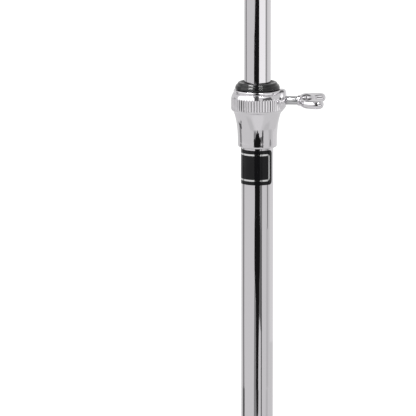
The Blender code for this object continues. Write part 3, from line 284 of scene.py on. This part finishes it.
def dress_nodes():
    group = smoothing_group()
    for row in frame["record"]["subparts"]:
        node = NODES[row["node"]]
        node.data.materials.clear()
        node.data.materials.append(MATERIALS[row["material_slot"]])
        node.modifiers.new("smooth_facets", "NODES").node_group = group
        node.modifiers.new("weighted_normals", "WEIGHTED_NORMAL").keep_sharp = True


# Mesh helpers


def arc(centre, radius, start, end, steps):
    """Points on a circle, from one angle in degrees to another."""
    angles = [math.radians(start + (end - start) * i / steps) for i in range(steps + 1)]
    return [
        (centre[0] + radius * math.cos(a), centre[1] + radius * math.sin(a)) for a in angles
    ]


def spline(points, steps):
    """A smooth curve through all the points, of any dimension."""
    ends = [
        tuple(2 * a - b for a, b in zip(points[0], points[1])),
        tuple(2 * a - b for a, b in zip(points[-1], points[-2])),
    ]
    knots = [ends[0], *points, ends[1]]
    curve = []
    for i in range(1, len(knots) - 2):
        for step in range(steps):
            t = step / steps
            curve.append(
                tuple(
                    0.5
                    * (2 * b + (c - a) * t + (2 * a - 5 * b + 4 * c - d) * t**2
                       + (3 * b - a - 3 * c + d) * t**3)
                    for a, b, c, d in zip(*knots[i - 1:i + 3])
                )
            )
    return [*curve, points[-1]]


def add_rows(mesh, rows, looped=False):
    """Faces between rows of points in mm, each row closed on itself."""
    rings = [[mesh.verts.new(Vector(point) * MM) for point in row] for row in rows]
    pairs = list(zip(rings, rings[1:] + rings[:1] if looped else rings[1:]))
    for low, high in pairs:
        for i in range(len(low)):
            j = (i + 1) % len(low)
            mesh.faces.new((low[i], low[j], high[j], high[i]))


def turned_rows(profile, sides, centre, radius_at=None):
    """Rows round an upright axis, for a profile of (radius, height) in mm."""
    rows = []
    for radius, height in profile:
        row = []
        for i in range(sides):
            angle = 2 * math.pi * i / sides
            reach = radius_at(radius, height, angle) if radius_at else radius
            x = centre.x / MM + reach * math.cos(angle)
            y = centre.y / MM + reach * math.sin(angle)
            row.append((x, y, centre.z / MM + height))
        rows.append(row)
    return rows


def finished(mesh, name, materials, body, *replaced):
    """Makes a shown piece of a bmesh: clean normals, smooth shading and its place in the frame."""
    bmesh.ops.remove_doubles(mesh, verts=mesh.verts, dist=0.002 * MM)
    bmesh.ops.recalc_face_normals(mesh, faces=mesh.faces)
    data = bpy.data.meshes.new(name)
    mesh.to_mesh(data)
    mesh.free()
    return shown(data, name, materials, body, *replaced)


def shown(data, name, materials, body, *replaced):
    data.shade_smooth()
    data.set_sharp_from_angle(angle=SMOOTH_ANGLE)
    for material in materials:
        data.materials.append(MATERIALS[material])
    piece = bpy.data.objects.new(name, data)
    bpy.context.scene.collection.objects.link(piece)
    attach(piece, body)
    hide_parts(*replaced)
    return piece


# Height clamp

FLUTES = 54
FLUTE_COLUMNS = 10
FLUTE_DEPTH = 0.38
FLUTE_LOW = 22.7
FLUTE_HIGH = 29.75
BAND_RADIUS = 15.65
BOSS_HEIGHT = 28.0
BOSS_FACE = 17.0
BOSS_SIDES = 56


def fluted(radius, height, angle):
    """The collar's radius at a point of its wall, less the flute pressed in there."""
    if radius < BAND_RADIUS - 0.8 or not FLUTE_LOW - 0.8 < height < FLUTE_HIGH + 0.3:
        return radius
    run_in = min(1.0, max(0.0, (height - FLUTE_LOW + 0.8) / 1.4))
    run_out = min(1.0, max(0.0, (FLUTE_HIGH + 0.3 - height) / 0.5))
    rib = 1 - abs(math.cos(angle * FLUTES / 2))
    return radius - FLUTE_DEPTH * rib**1.4 * run_in * run_out


def collar_profile():
    """Down the outside, then up the bore, in mm from the collar's lower edge."""
    taper = spline(
        [
            (14.4, 21.5),
            (13.95, 20.4),
            (13.3, 18.3),
            (12.65, 15.4),
            (12.18, 12.4),
            (12.03, 11.0),
            (11.94, 10.0),
            (11.865, 9.0),
            (11.803, 8.0),
            (11.752, 7.0),
            (11.711, 6.0),
            (11.68, 5.0),
            (11.66, 4.0),
            (11.65, 2.8),
        ],
        4,
    )
    bevel = spline(
        [
            (14.05, 32.3),
            (14.4, 32.36),
            (14.72, 32.05),
            (15.02, 31.4),
            (15.3, 30.7),
            (15.5, 30.1),
            (15.62, 29.6),
        ],
        3,
    )
    band = [
        *[(BAND_RADIUS, FLUTE_HIGH - 0.35 - i * 0.56) for i in range(12)],
        (BAND_RADIUS, 23.05),
        (15.55, 22.6),
        (15.3, 22.2),
        (14.95, 21.9),
        (14.6, 21.72),
    ]
    return [
        (10.5, 34.5),
        (13.2, 34.5),
        *arc((13.55, 33.85), 0.65, 88, 8, 6),
        (14.22, 33.5),
        (14.22, 33.0),
        (14.15, 32.6),
        (14.0, 32.42),
        *bevel,
        *band,
        *taper,
        (11.65, 1.2),
        *arc((10.45, 1.2), 1.2, -10, -90, 6),
        (9.95, 0.0),
        (9.825, 0.12),
        (9.825, 16.0),
        (10.5, 16.0),
    ]


def boss_stations():
    """Along the screw's axis: place, half width, and reach above and below, in mm."""
    outside = [
        (11.2, 10.6, 6.3, 8.0),
        (12.0, 9.8, 6.55, 7.9),
        (12.8, 8.95, 6.7, 7.75),
        (13.5, 8.25, 6.85, 7.55),
        (14.1, 7.78, 6.9, 7.2),
        (14.6, 7.54, 6.9, 6.75),
        (15.1, 7.44, 6.9, 6.2),
        (15.5, 7.34, 6.85, 5.7),
        (15.9, 7.12, 6.72, 5.2),
        (16.3, 6.76, 6.45, 4.7),
        (16.65, 6.26, 6.05, 4.25),
        (16.88, 5.7, 5.55, 3.95),
        (BOSS_FACE, 5.1, 5.0, 3.75),
    ]
    hole = [
        (BOSS_FACE, 3.35, 3.35, 3.35),
        (BOSS_FACE - 0.4, 2.9, 2.9, 2.9),
        (BOSS_FACE - 3.5, 2.9, 2.9, 2.9),
    ]
    return [*spline(outside, 3), *hole]


def boss_rows(centre):
    rows = []
    for place, side, above, below in boss_stations():
        row = []
        for i in range(BOSS_SIDES):
            angle = 2 * math.pi * i / BOSS_SIDES
            lift = math.cos(angle)
            reach = above if lift > 0 else below
            row.append(
                (
                    centre.x / MM + place,
                    centre.y / MM + side * math.sin(angle),
                    centre.z / MM + BOSS_HEIGHT + reach * lift,
                )
            )
        rows.append(row)
    return rows


def height_collar():
    centre = Vector((AXIS_X, 0.0, COLLAR_Z))
    mesh = bmesh.new()
    sides = FLUTES * FLUTE_COLUMNS
    add_rows(mesh, turned_rows(collar_profile(), sides, centre, fluted), looped=True)
    add_rows(mesh, boss_rows(centre))
    finished(mesh, "v_height_collar", ["cast_chrome"], "base", "height_collar")


def height_bushing():
    """The nylon sleeve, with its dished flange and the beads round its rim."""
    rim = [
        (8.9, 37.95),
        (9.6, 38.35),
        (10.1, 38.75),
        (10.5, 38.92),
        (10.9, 38.9),
        (11.3, 38.82),
        (11.45, 38.72),
        (11.88, 38.08),
        (12.0, 37.8),
        (12.05, 37.55),
        (12.2, 37.43),
        (12.42, 37.42),
        (12.58, 37.34),
        (12.94, 36.8),
        (13.02, 36.55),
        (13.02, 36.4),
        (13.1, 36.28),
        (13.28, 36.0),
        (13.32, 35.7),
        (13.3, 35.1),
        (13.0, 34.8),
    ]
    profile = [(8.2375, 37.85), *rim, (10.2, 34.8), (10.2, 16.3), (8.2375, 16.3)]
    mesh = bmesh.new()
    rows = turned_rows(profile, 96, Vector((AXIS_X, 0.0, COLLAR_Z)))
    add_rows(mesh, rows, looped=True)
    finished(mesh, "v_height_bushing", ["black_nylon"], "base", "height_bushing")


def height_label():
    """The label as a thin band, open on the screw's side, with round corners."""
    height = (LABEL_HIGH.z - LABEL_LOW.z) / MM
    ends = [LABEL_ROUND * (1 - math.cos(math.radians(15 * i))) for i in range(7)]
    levels = [*ends, *[height - end for end in reversed(ends)]]
    rows = []
    for level in levels:
        short = LABEL_ROUND - min(LABEL_ROUND, level, height - level)
        cut = LABEL_ROUND - math.sqrt(LABEL_ROUND**2 - short**2)
        start = LABEL_GAP + math.degrees(cut / LABEL_RADIUS)
        outer = arc((AXIS_X / MM, 0.0), LABEL_RADIUS, start, 360 - start, 96)
        inner = arc((AXIS_X / MM, 0.0), LABEL_RADIUS - LABEL_THICK, 360 - start, start, 96)
        up = LABEL_LOW.z / MM + LABEL_RAISE + level
        rows.append([(x, y, up) for x, y in (*outer, *inner)])
    mesh = bmesh.new()
    add_rows(mesh, rows)
    bmesh.ops.holes_fill(mesh, edges=[edge for edge in mesh.edges if edge.is_boundary])
    finished(mesh, "v_height_label", ["label"], "base", "height_label")


# Wing screws

HEAD_LENGTH = 16.2
SHANK_RADIUS = 2.55
HEAD_VOXEL = 0.25
EAR_LEVELS = 12
EAR_EDGE = 1.9
EAR_DROOP = 0.2
EAR_TURN = math.radians(3)


def wing_outline():
    """Both ears in plan, axis along X from the head's base: root, shoulder, tip and valley."""
    side = spline(
        [
            (0.9, 1.8),
            (1.2, 4.4),
            (1.7, 7.0),
            (2.6, 9.4),
            (4.2, 11.4),
            (6.6, 12.8),
            (9.2, 13.5),
            (12.0, 13.8),
            (14.2, 13.3),
            (15.6, 11.8),
            (16.15, 9.8),
            (15.8, 7.7),
            (14.6, 6.2),
            (12.8, 5.3),
            (11.0, 4.2),
            (10.0, 2.5),
            (9.7, 0.8),
        ],
        3,
    )
    return [*side, *[(x, -y) for x, y in reversed(side)]]


def inset(outline, distance):
    """The outline moved inwards along its own normals."""
    moved = []
    for i, (x, y) in enumerate(outline):
        before = Vector(outline[i - 1])
        after = Vector(outline[(i + 1) % len(outline)])
        along = (after - before).normalized()
        moved.append((x + along.y * distance, y - along.x * distance))
    return moved


def ears():
    """The ears as a thick plate with a full-round edge, thicker and lower at its tips."""
    outline = wing_outline()
    rows = []
    for step in range(EAR_LEVELS + 1):
        turn = math.radians(180 * step / EAR_LEVELS - 90)
        row = []
        for x, y in inset(outline, EAR_EDGE * (1 - math.cos(turn))):
            reach = min(1.0, abs(y) / 12)
            row.append((x, y, (2.15 + 0.25 * reach) * math.sin(turn) - EAR_DROOP * reach**2))
        rows.append(row)
    mesh = bmesh.new()
    rings = [[mesh.verts.new(point) for point in row] for row in rows]
    for low, high in zip(rings, rings[1:]):
        for i in range(len(low)):
            j = (i + 1) % len(low)
            mesh.faces.new((low[i], low[j], high[j], high[i]))
    mesh.faces.new(rings[0][::-1])
    mesh.faces.new(rings[-1])
    bmesh.ops.recalc_face_normals(mesh, faces=mesh.faces)
    return mesh


def head_mesh():
    """A cast wing head: ears, ball hub and neck grown together."""
    mesh = ears()
    bmesh.ops.rotate(mesh, verts=mesh.verts, matrix=Matrix.Rotation(EAR_TURN, 3, "X"))
    ball = Matrix.Translation((5.4, 0.0, 0.1)) @ Matrix.Diagonal((5.4, 5.2, 4.4, 1.0))
    bmesh.ops.create_uvsphere(mesh, u_segments=48, v_segments=24, radius=1.0, matrix=ball)
    neck = Matrix.Translation((1.2, 0.0, 0.0)) @ Matrix.Rotation(math.radians(90), 4, "Y")
    bmesh.ops.create_cone(
        mesh, cap_ends=True, segments=48, radius1=3.0, radius2=3.4, depth=2.6, matrix=neck
    )
    bmesh.ops.scale(mesh, vec=(MM, MM, MM), verts=mesh.verts)
    data = bpy.data.meshes.new("wing_head")
    mesh.to_mesh(data)
    mesh.free()
    source = bpy.data.objects.new("wing_head", data)
    bpy.context.scene.collection.objects.link(source)
    remesh = source.modifiers.new("grow_together", "REMESH")
    remesh.mode = "VOXEL"
    remesh.voxel_size = HEAD_VOXEL * MM
    soften = source.modifiers.new("soften", "SMOOTH")
    soften.factor = 0.5
    soften.iterations = 9
    graph = bpy.context.evaluated_depsgraph_get()
    result = bpy.data.meshes.new_from_object(source.evaluated_get(graph))
    bpy.data.objects.remove(source)
    return result


def wing_screw(node, head):
    """The shared head on this screw's own shank, in the CAD screw's place."""
    low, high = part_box(node)
    base = Vector((high.x - HEAD_LENGTH * MM, 0.0, middle(node).z))
    shank = (base.x - low.x) / MM
    mesh = bmesh.new()
    profile = [(0.0, 0.6), (SHANK_RADIUS, 0.6), (SHANK_RADIUS, -shank + 0.5)]
    profile += [(SHANK_RADIUS - 0.5, -shank), (0.0, -shank)]
    add_rows(mesh, turned_rows(profile, 48, Vector()))
    bmesh.ops.rotate(mesh, verts=mesh.verts, matrix=Matrix.Rotation(math.radians(90), 3, "Y"))
    for face in mesh.faces:
        face.material_index = 1
    mesh.from_mesh(head)
    bmesh.ops.translate(mesh, verts=mesh.verts, vec=base)
    finished(mesh, "v_" + node, ["cast_chrome", "zinc"], node, node)


# Pad fixing and rivets

THREAD_PITCH = 1.25
THREAD_DEPTH = 0.65
THREAD_LEVELS = 8
THREAD_SIDES = 40
THREAD_FLAT = 0.12
STUD_END = 0.9
NUT_WIDTH = 13.0
NUT_FACES = 6
NUT_COLUMNS = 12
NUT_FACE_RADIUS = 6.25
NUT_SLOPE = 1.73
RIVET_SIDES = 40


def body_of(node):
    bodies = frame["record"]["behaviour"]["bodies"]
    return next(name for name, nodes in bodies.items() if node in nodes)


def thread_relief(height, angle):
    """How far the thread's surface lies under its crest, as a share of its depth."""
    turn = (height / THREAD_PITCH - angle / (2 * math.pi)) % 1.0
    flank = abs(2 * turn - 1)
    return min(1.0, max(0.0, (flank - THREAD_FLAT) / (1 - 2 * THREAD_FLAT)))


def pad_stud():
    """The stud with its real thread, chamfered at its upper end."""
    low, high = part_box("pad_stud")
    length = (high.z - low.z) / MM
    crest = (high.x - low.x) / MM / 2
    levels = round(length / THREAD_PITCH * THREAD_LEVELS)

    def radius_at(radius, height, angle):
        end = max(0.0, height - (length - STUD_END))
        return min(radius - THREAD_DEPTH * thread_relief(height, angle), crest - end)

    heights = [length * i / levels for i in range(levels + 1)]
    rows = turned_rows([(crest, height) for height in heights], THREAD_SIDES,
                       Vector((AXIS_X, 0.0, low.z)), radius_at)
    mesh = bmesh.new()
    add_rows(mesh, rows)
    bmesh.ops.holes_fill(mesh, edges=[edge for edge in mesh.edges if edge.is_boundary])
    finished(mesh, "v_pad_stud", ["zinc"], body_of("pad_stud"), "pad_stud")


def pad_lock_nut():
    """The hexagon nut, its corners turned down to a cone on both faces."""
    low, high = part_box("pad_lock_nut")
    thick = (high.z - low.z) / MM
    flats_face_x = high.x - low.x < high.y - low.y
    phase = 0.0 if flats_face_x else math.pi / NUT_FACES
    step = 2 * math.pi / NUT_FACES

    def radius_at(radius, height, angle):
        off_flat = (angle - phase + step / 2) % step - step / 2
        cone = NUT_FACE_RADIUS + NUT_SLOPE * min(height, thick - height)
        return min(radius, NUT_WIDTH / 2 / math.cos(off_flat), cone)

    crown = [i * 0.15 for i in range(9)]
    heights = [*crown, *[thick - height for height in reversed(crown)]]
    bore = (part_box("pad_stud")[1].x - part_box("pad_stud")[0].x) / MM / 2 + 0.25
    profile = [(bore, 0.0), *[(NUT_WIDTH, height) for height in heights], (bore, thick)]
    rows = turned_rows(profile, NUT_FACES * NUT_COLUMNS, Vector((AXIS_X, 0.0, low.z)), radius_at)
    mesh = bmesh.new()
    add_rows(mesh, rows, looped=True)
    finished(mesh, "v_pad_lock_nut", ["zinc"], body_of("pad_lock_nut"), "pad_lock_nut")


def rivet(node, bearing):
    """A rivet with round heads, in the CAD rivet's place on its own level axis."""
    axis = outward(bearing)
    centre = middle(node)
    offsets = [vertex.co - centre for vertex in NODES[node].data.vertices]
    half = max(offset.dot(axis) for offset in offsets) / MM
    head = max((offset - axis * offset.dot(axis)).length for offset in offsets) / MM
    shank = min(head, 2.5)
    dome = [(head * math.cos(a), half - 1.5 + 1.5 * math.sin(a))
            for a in (math.radians(10 * i) for i in range(10))]
    upper = [(shank, half - 1.5), (head, half - 1.5), *dome[1:-1], (0.0, half)]
    profile = [*[(radius, -place) for radius, place in reversed(upper)], *upper]
    mesh = bmesh.new()
    add_rows(mesh, turned_rows(profile, RIVET_SIDES, Vector()))
    bmesh.ops.rotate(mesh, verts=mesh.verts,
                     matrix=axis.to_track_quat("Z", "Y").to_matrix())
    bmesh.ops.translate(mesh, verts=mesh.verts, vec=centre)
    finished(mesh, "v_" + node, ["zinc"], body_of(node), node)


# Studio

ROOM_GREY = 0.73
FLOOR_LIFT = 0.5
CAMERA_BEARING = 4.4
CAMERA_ELEVATION = 10.5
CAMERA_DISTANCE = 3.7
CAMERA_LENS = 537.0
AIM_BELOW_COLLAR = 37.3
AIM_LEFT = 29.4


def outward(bearing, elevation=0.0):
    """A unit vector from the tube, by its bearing from the front and its elevation."""
    turn = math.radians(bearing)
    rise = math.radians(elevation)
    return Vector(
        (
            math.sin(turn) * math.cos(rise),
            -math.cos(turn) * math.cos(rise),
            math.sin(rise),
        )
    )


def camera():
    away = outward(CAMERA_BEARING, CAMERA_ELEVATION)
    right = outward(CAMERA_BEARING + 90)
    centre = Vector((AXIS_X, 0.0, COLLAR_Z - AIM_BELOW_COLLAR * MM))
    target = centre - right * AIM_LEFT * MM
    data = bpy.data.cameras.new("camera")
    data.lens = CAMERA_LENS
    data.sensor_width = 36.0
    data.clip_end = 100.0
    view = bpy.data.objects.new("camera", data)
    view.location = target + away * CAMERA_DISTANCE
    view.rotation_euler = away.to_track_quat("Z", "Y").to_euler()
    bpy.context.scene.collection.objects.link(view)
    bpy.context.scene.camera = view


def glow(name):
    """A plain emission, as strong as the card's own glow attribute at each point."""
    material = bpy.data.materials.new(name)
    material.use_nodes = True
    nodes = material.node_tree.nodes
    links = material.node_tree.links
    nodes.remove(nodes["Principled BSDF"])
    emission = nodes.new("ShaderNodeEmission")
    emission.inputs["Color"].default_value = (1.0, 1.0, 1.0, 1.0)
    strength = nodes.new("ShaderNodeAttribute")
    strength.attribute_name = "glow"
    links.new(strength.outputs["Fac"], emission.inputs["Strength"])
    links.new(emission.outputs[0], nodes["Material Output"].inputs["Surface"])
    return material


def show_in_reflections(name, rows, values):
    """A glowing card through rows of points, which only reflections see."""
    mesh = bmesh.new()
    strength = mesh.verts.layers.float.new("glow")
    rings = []
    for row, row_values in zip(rows, values):
        ring = []
        for point, value in zip(row, row_values):
            corner = mesh.verts.new(point)
            corner[strength] = value
            ring.append(corner)
        rings.append(ring)
    for low, high in zip(rings, rings[1:]):
        for i in range(len(low) - 1):
            mesh.faces.new((low[i], low[i + 1], high[i + 1], high[i]))
    data = bpy.data.meshes.new(name)
    mesh.to_mesh(data)
    mesh.free()
    data.materials.append(glow(name))
    piece = bpy.data.objects.new(name, data)
    bpy.context.scene.collection.objects.link(piece)
    piece.visible_camera = False
    piece.visible_diffuse = False
    piece.visible_shadow = False
    piece.visible_transmission = False


def spread_rows(edges, steps):
    """More rows between the given ones, so that a soft card can fade along its height."""
    rows = []
    for low, high in zip(edges, edges[1:]):
        for step in range(steps):
            rows.append(tuple(a + (b - a) * step / steps for a, b in zip(low, high)))
    return [*rows, edges[-1]]


def dressed(name, value, edges, place, soft):
    """A card through rows of (height, left bearing, right bearing), fading at its edges if soft."""
    columns = 16
    rows = spread_rows(edges, 8 if soft else 1)
    points = []
    values = []
    for count, (height, left, right) in enumerate(rows):
        points.append([place(left + (right - left) * i / columns, height) for i in range(columns + 1)])
        along = math.sin(math.pi * count / (len(rows) - 1))
        across = [math.sin(math.pi * i / columns) for i in range(columns + 1)]
        shares = [min(1.0, 2.0 * along * share) if soft else 1.0 for share in across]
        values.append([ROOM_GREY + (value - ROOM_GREY) * share for share in shares])
    show_in_reflections(name, points, values)


def card(name, value, edges, distance=1.5, soft=False):
    """An upright card, by heights above the floor."""

    def place(bearing, height):
        point = outward(CAMERA_BEARING + bearing) * distance
        return Vector((AXIS_X + point.x, point.y, height))

    dressed(name, value, edges, place, soft)


def floor_card(name, value, edges, soft=False):
    """A card that lies on the floor, by distances from the tube."""

    def place(bearing, distance):
        point = outward(CAMERA_BEARING + bearing) * distance
        return Vector((AXIS_X + point.x, point.y, MM if soft else 2 * MM))

    dressed(name, value, edges, place, soft)


def sky_card(name, value, edges, distance=1.6, soft=False):
    """A card on a dome over the clamp, by elevations."""
    centre = Vector((AXIS_X, 0.0, COLLAR_Z))

    def place(bearing, elevation):
        return centre + outward(CAMERA_BEARING + bearing, elevation) * distance

    dressed(name, value, edges, place, soft)


def floor():
    """A pale matt floor that takes a soft shadow, and a plain grey in reflections."""
    bpy.ops.mesh.primitive_plane_add(size=30.0)
    piece = bpy.context.active_object
    piece.name = "floor"
    material = bpy.data.materials.new("floor")
    material.use_nodes = True
    nodes = material.node_tree.nodes
    links = material.node_tree.links
    path = nodes.new("ShaderNodeLightPath")
    principled = nodes["Principled BSDF"]
    principled.inputs["Base Color"].default_value = (0.82, 0.82, 0.82, 1.0)
    principled.inputs["Roughness"].default_value = 0.9
    glows = []
    for value in (FLOOR_LIFT, ROOM_GREY):
        emission = nodes.new("ShaderNodeEmission")
        emission.inputs["Color"].default_value = (1.0, 1.0, 1.0, 1.0)
        emission.inputs["Strength"].default_value = value
        glows.append(emission.outputs[0])
    lifted = nodes.new("ShaderNodeAddShader")
    links.new(principled.outputs[0], lifted.inputs[0])
    links.new(glows[0], lifted.inputs[1])
    shader = principled.outputs[0]
    for ray, seen in (("Is Camera Ray", lifted.outputs[0]), ("Is Glossy Ray", glows[1])):
        mix = nodes.new("ShaderNodeMixShader")
        links.new(path.outputs[ray], mix.inputs["Fac"])
        links.new(shader, mix.inputs[1])
        links.new(seen, mix.inputs[2])
        shader = mix.outputs[0]
    links.new(shader, nodes["Material Output"].inputs["Surface"])
    piece.data.materials.append(material)


def world():
    """White behind the stand for the camera, and a soft grey room for everything else."""
    room = bpy.data.worlds.new("studio")
    bpy.context.scene.world = room
    room.use_nodes = True
    nodes = room.node_tree.nodes
    links = room.node_tree.links
    path = nodes.new("ShaderNodeLightPath")
    strength = nodes.new("ShaderNodeMapRange")
    strength.inputs["To Min"].default_value = ROOM_GREY
    strength.inputs["To Max"].default_value = 1.0
    links.new(path.outputs["Is Camera Ray"], strength.inputs["Value"])
    background = nodes["Background"]
    background.inputs["Color"].default_value = (1.0, 1.0, 1.0, 1.0)
    links.new(strength.outputs[0], background.inputs["Strength"])


def lamp(name, bearing, elevation, distance, width, height, power):
    """A soft box that faces the clamp."""
    data = bpy.data.lights.new(name, "AREA")
    data.shape = "RECTANGLE"
    data.size = width
    data.size_y = height
    data.energy = power
    box = bpy.data.objects.new(name, data)
    away = outward(CAMERA_BEARING + bearing, elevation)
    box.location = Vector((AXIS_X, 0.0, COLLAR_Z)) + away * distance
    box.rotation_euler = away.to_track_quat("Z", "Y").to_euler()
    bpy.context.scene.collection.objects.link(box)


def studio():
    floor()
    world()
    lamp("key_box", -40, 58, 1.9, 1.9, 1.3, 9.0)
    dark = 0.01
    low_front = [(0.001, -9, 9), (0.035, -10, 10), (0.075, -12, 13), (0.11, -22.5, 19)]
    card("front_low", dark, [*low_front, (0.15, -22.5, 21)])
    card("front_mid", dark, [(0.15, -21, 19), (0.225, -22, 19)])
    card("front_high", dark, [(0.225, -22, 14), (0.26, -26, 9), (0.34, -22, 8)])
    card("front_column", dark, [(0.34, -19, 12), (0.6, -9, 6), (0.75, -5, 4)])
    card("front_grey", 0.28, [(0.001, -22, -9), (0.075, -22, -12), (0.1, -22, -22)])
    card("front_right_grey", 0.2, [(0.14, 21, 36), (0.186, 19, 36)])
    card("low_right_grey", 0.17, [(0.05, 27, 36), (0.07, 13, 35), (0.14, 19, 35)], 1.51)
    low_middle = [(0.001, 27, 35), (0.05, 27, 35), (0.13, 28.5, 33.5), (0.222, 28.5, 33)]
    card("middle_strip", 0.05, low_middle)
    card("bright_card", 1.12, [(0.225, 13, 74), (0.7, 13, 74)], 1.55)
    card("right_strip", 0.3, [(0.14, 77, 87), (0.22, 75, 88), (0.5, 74, 88)])
    card("low_right_light", 0.6, [(0.001, 70, 90), (0.14, 70, 90)], 1.51)
    left_low = [(0.001, -124, -104), (0.06, -126, -107), (0.2, -124, -106)]
    card("left_strip", 0.28, [*left_low, (0.75, -128, -113)])
    card("behind_right", 0.82, [(0.0, 104, 170), (0.9, 104, 170)], 1.7)
    sky_card("key_card", 1.6, [(9, -100, -5), (36, -104, -9), (62, -108, -9)])
    sky_card("key_top", 0.95, [(62, -108, -9), (85, -112, 0)])
    column = [(8, -20, 12), (16, -17, 8), (24, -14, 5), (36, -16, 6), (48, -26, 8), (62, -33, 8)]
    sky_card("column_card", 0.1, column, 1.55)
    over_top = [(62, -13, 9), (70, -17, 12), (78, -29, 20), (83, -55, 40), (90, -90, 90)]
    sky_card("column_top", 0.05, over_top, 1.55)
    sky_card("fill_card", 1.25, [(38, 9, 62), (85, 6, 90)])
    sky_card("dark_bar", 0.15, [(13, 22, 74), (34, 25, 68)])
    sky_card("rim_left", 28.0, [(48, -70, -34), (62, -70, -36)], 1.5)
    sky_card("rim_right", 42.0, [(48, 9, 34), (62, 9, 30)], 1.5)
    card("band_light", 1.15, [(0.21, -132, -24), (0.24, -132, -24)])
    card("band_shade", 0.38, [(0.208, 62, 98), (0.235, 62, 98)], 1.49)
    line = [(1.24, -1.5, 0.5), (1.36, -4, 4), (1.41, -6, 9), (1.5, -8, 10)]
    floor_card("floor_line", 0.02, line)
    floor_card("floor_right_light", 0.6, [(1.35, 66, 84), (1.5, 68, 86)])
    floor_card("floor_grey", 0.28, [(1.3, -21, -6), (1.5, -22, -8)])
    floor_card("floor_strip", 0.07, [(1.3, 27, 35), (1.5, 27, 35)])
    floor_card("floor_left_strip", 0.15, [(1.3, -128, -106), (1.5, -128, -106)])
    floor_card("floor_mark", 0.03, [(1.02, -106, -101), (1.2, -110, -104), (1.5, -112, -102)])
    # A painted pool of light: a soft glowing patch on the floor, brighter than the room grey, that
    # only reflections see.
    floor_card("floor_light_pool", 0.83, [(0.25, -58, 60), (0.75, -30, 38), (1.3, -8, 18)], soft=True)
    floor_card("floor_dim_left", 0.65, [(0.5, -80, -40), (0.9, -55, -24), (1.4, -36, -9)], soft=True)
    floor_card("floor_dim_right", 0.65, [(0.8, 46, 80), (1.1, 30, 76), (1.4, 20, 70)], soft=True)
    sky_card("back_bar", 0.16, [(48, 118, 240), (78, 110, 250)])


dress_nodes()
height_collar()
height_bushing()
height_label()
HEAD = head_mesh()
for screw in ("leg_wing_screw", "height_wing_screw", "tilter_wing_screw"):
    wing_screw(screw, HEAD)
pad_stud()
pad_lock_nut()
for number, bearing in ((1, 0), (2, 120), (3, 240)):
    rivet(f"leg_rivet_{number}", bearing)
    rivet(f"brace_rivet_{number}", bearing)
studio()
camera()
bpy.context.scene.view_settings.view_transform = "Standard"
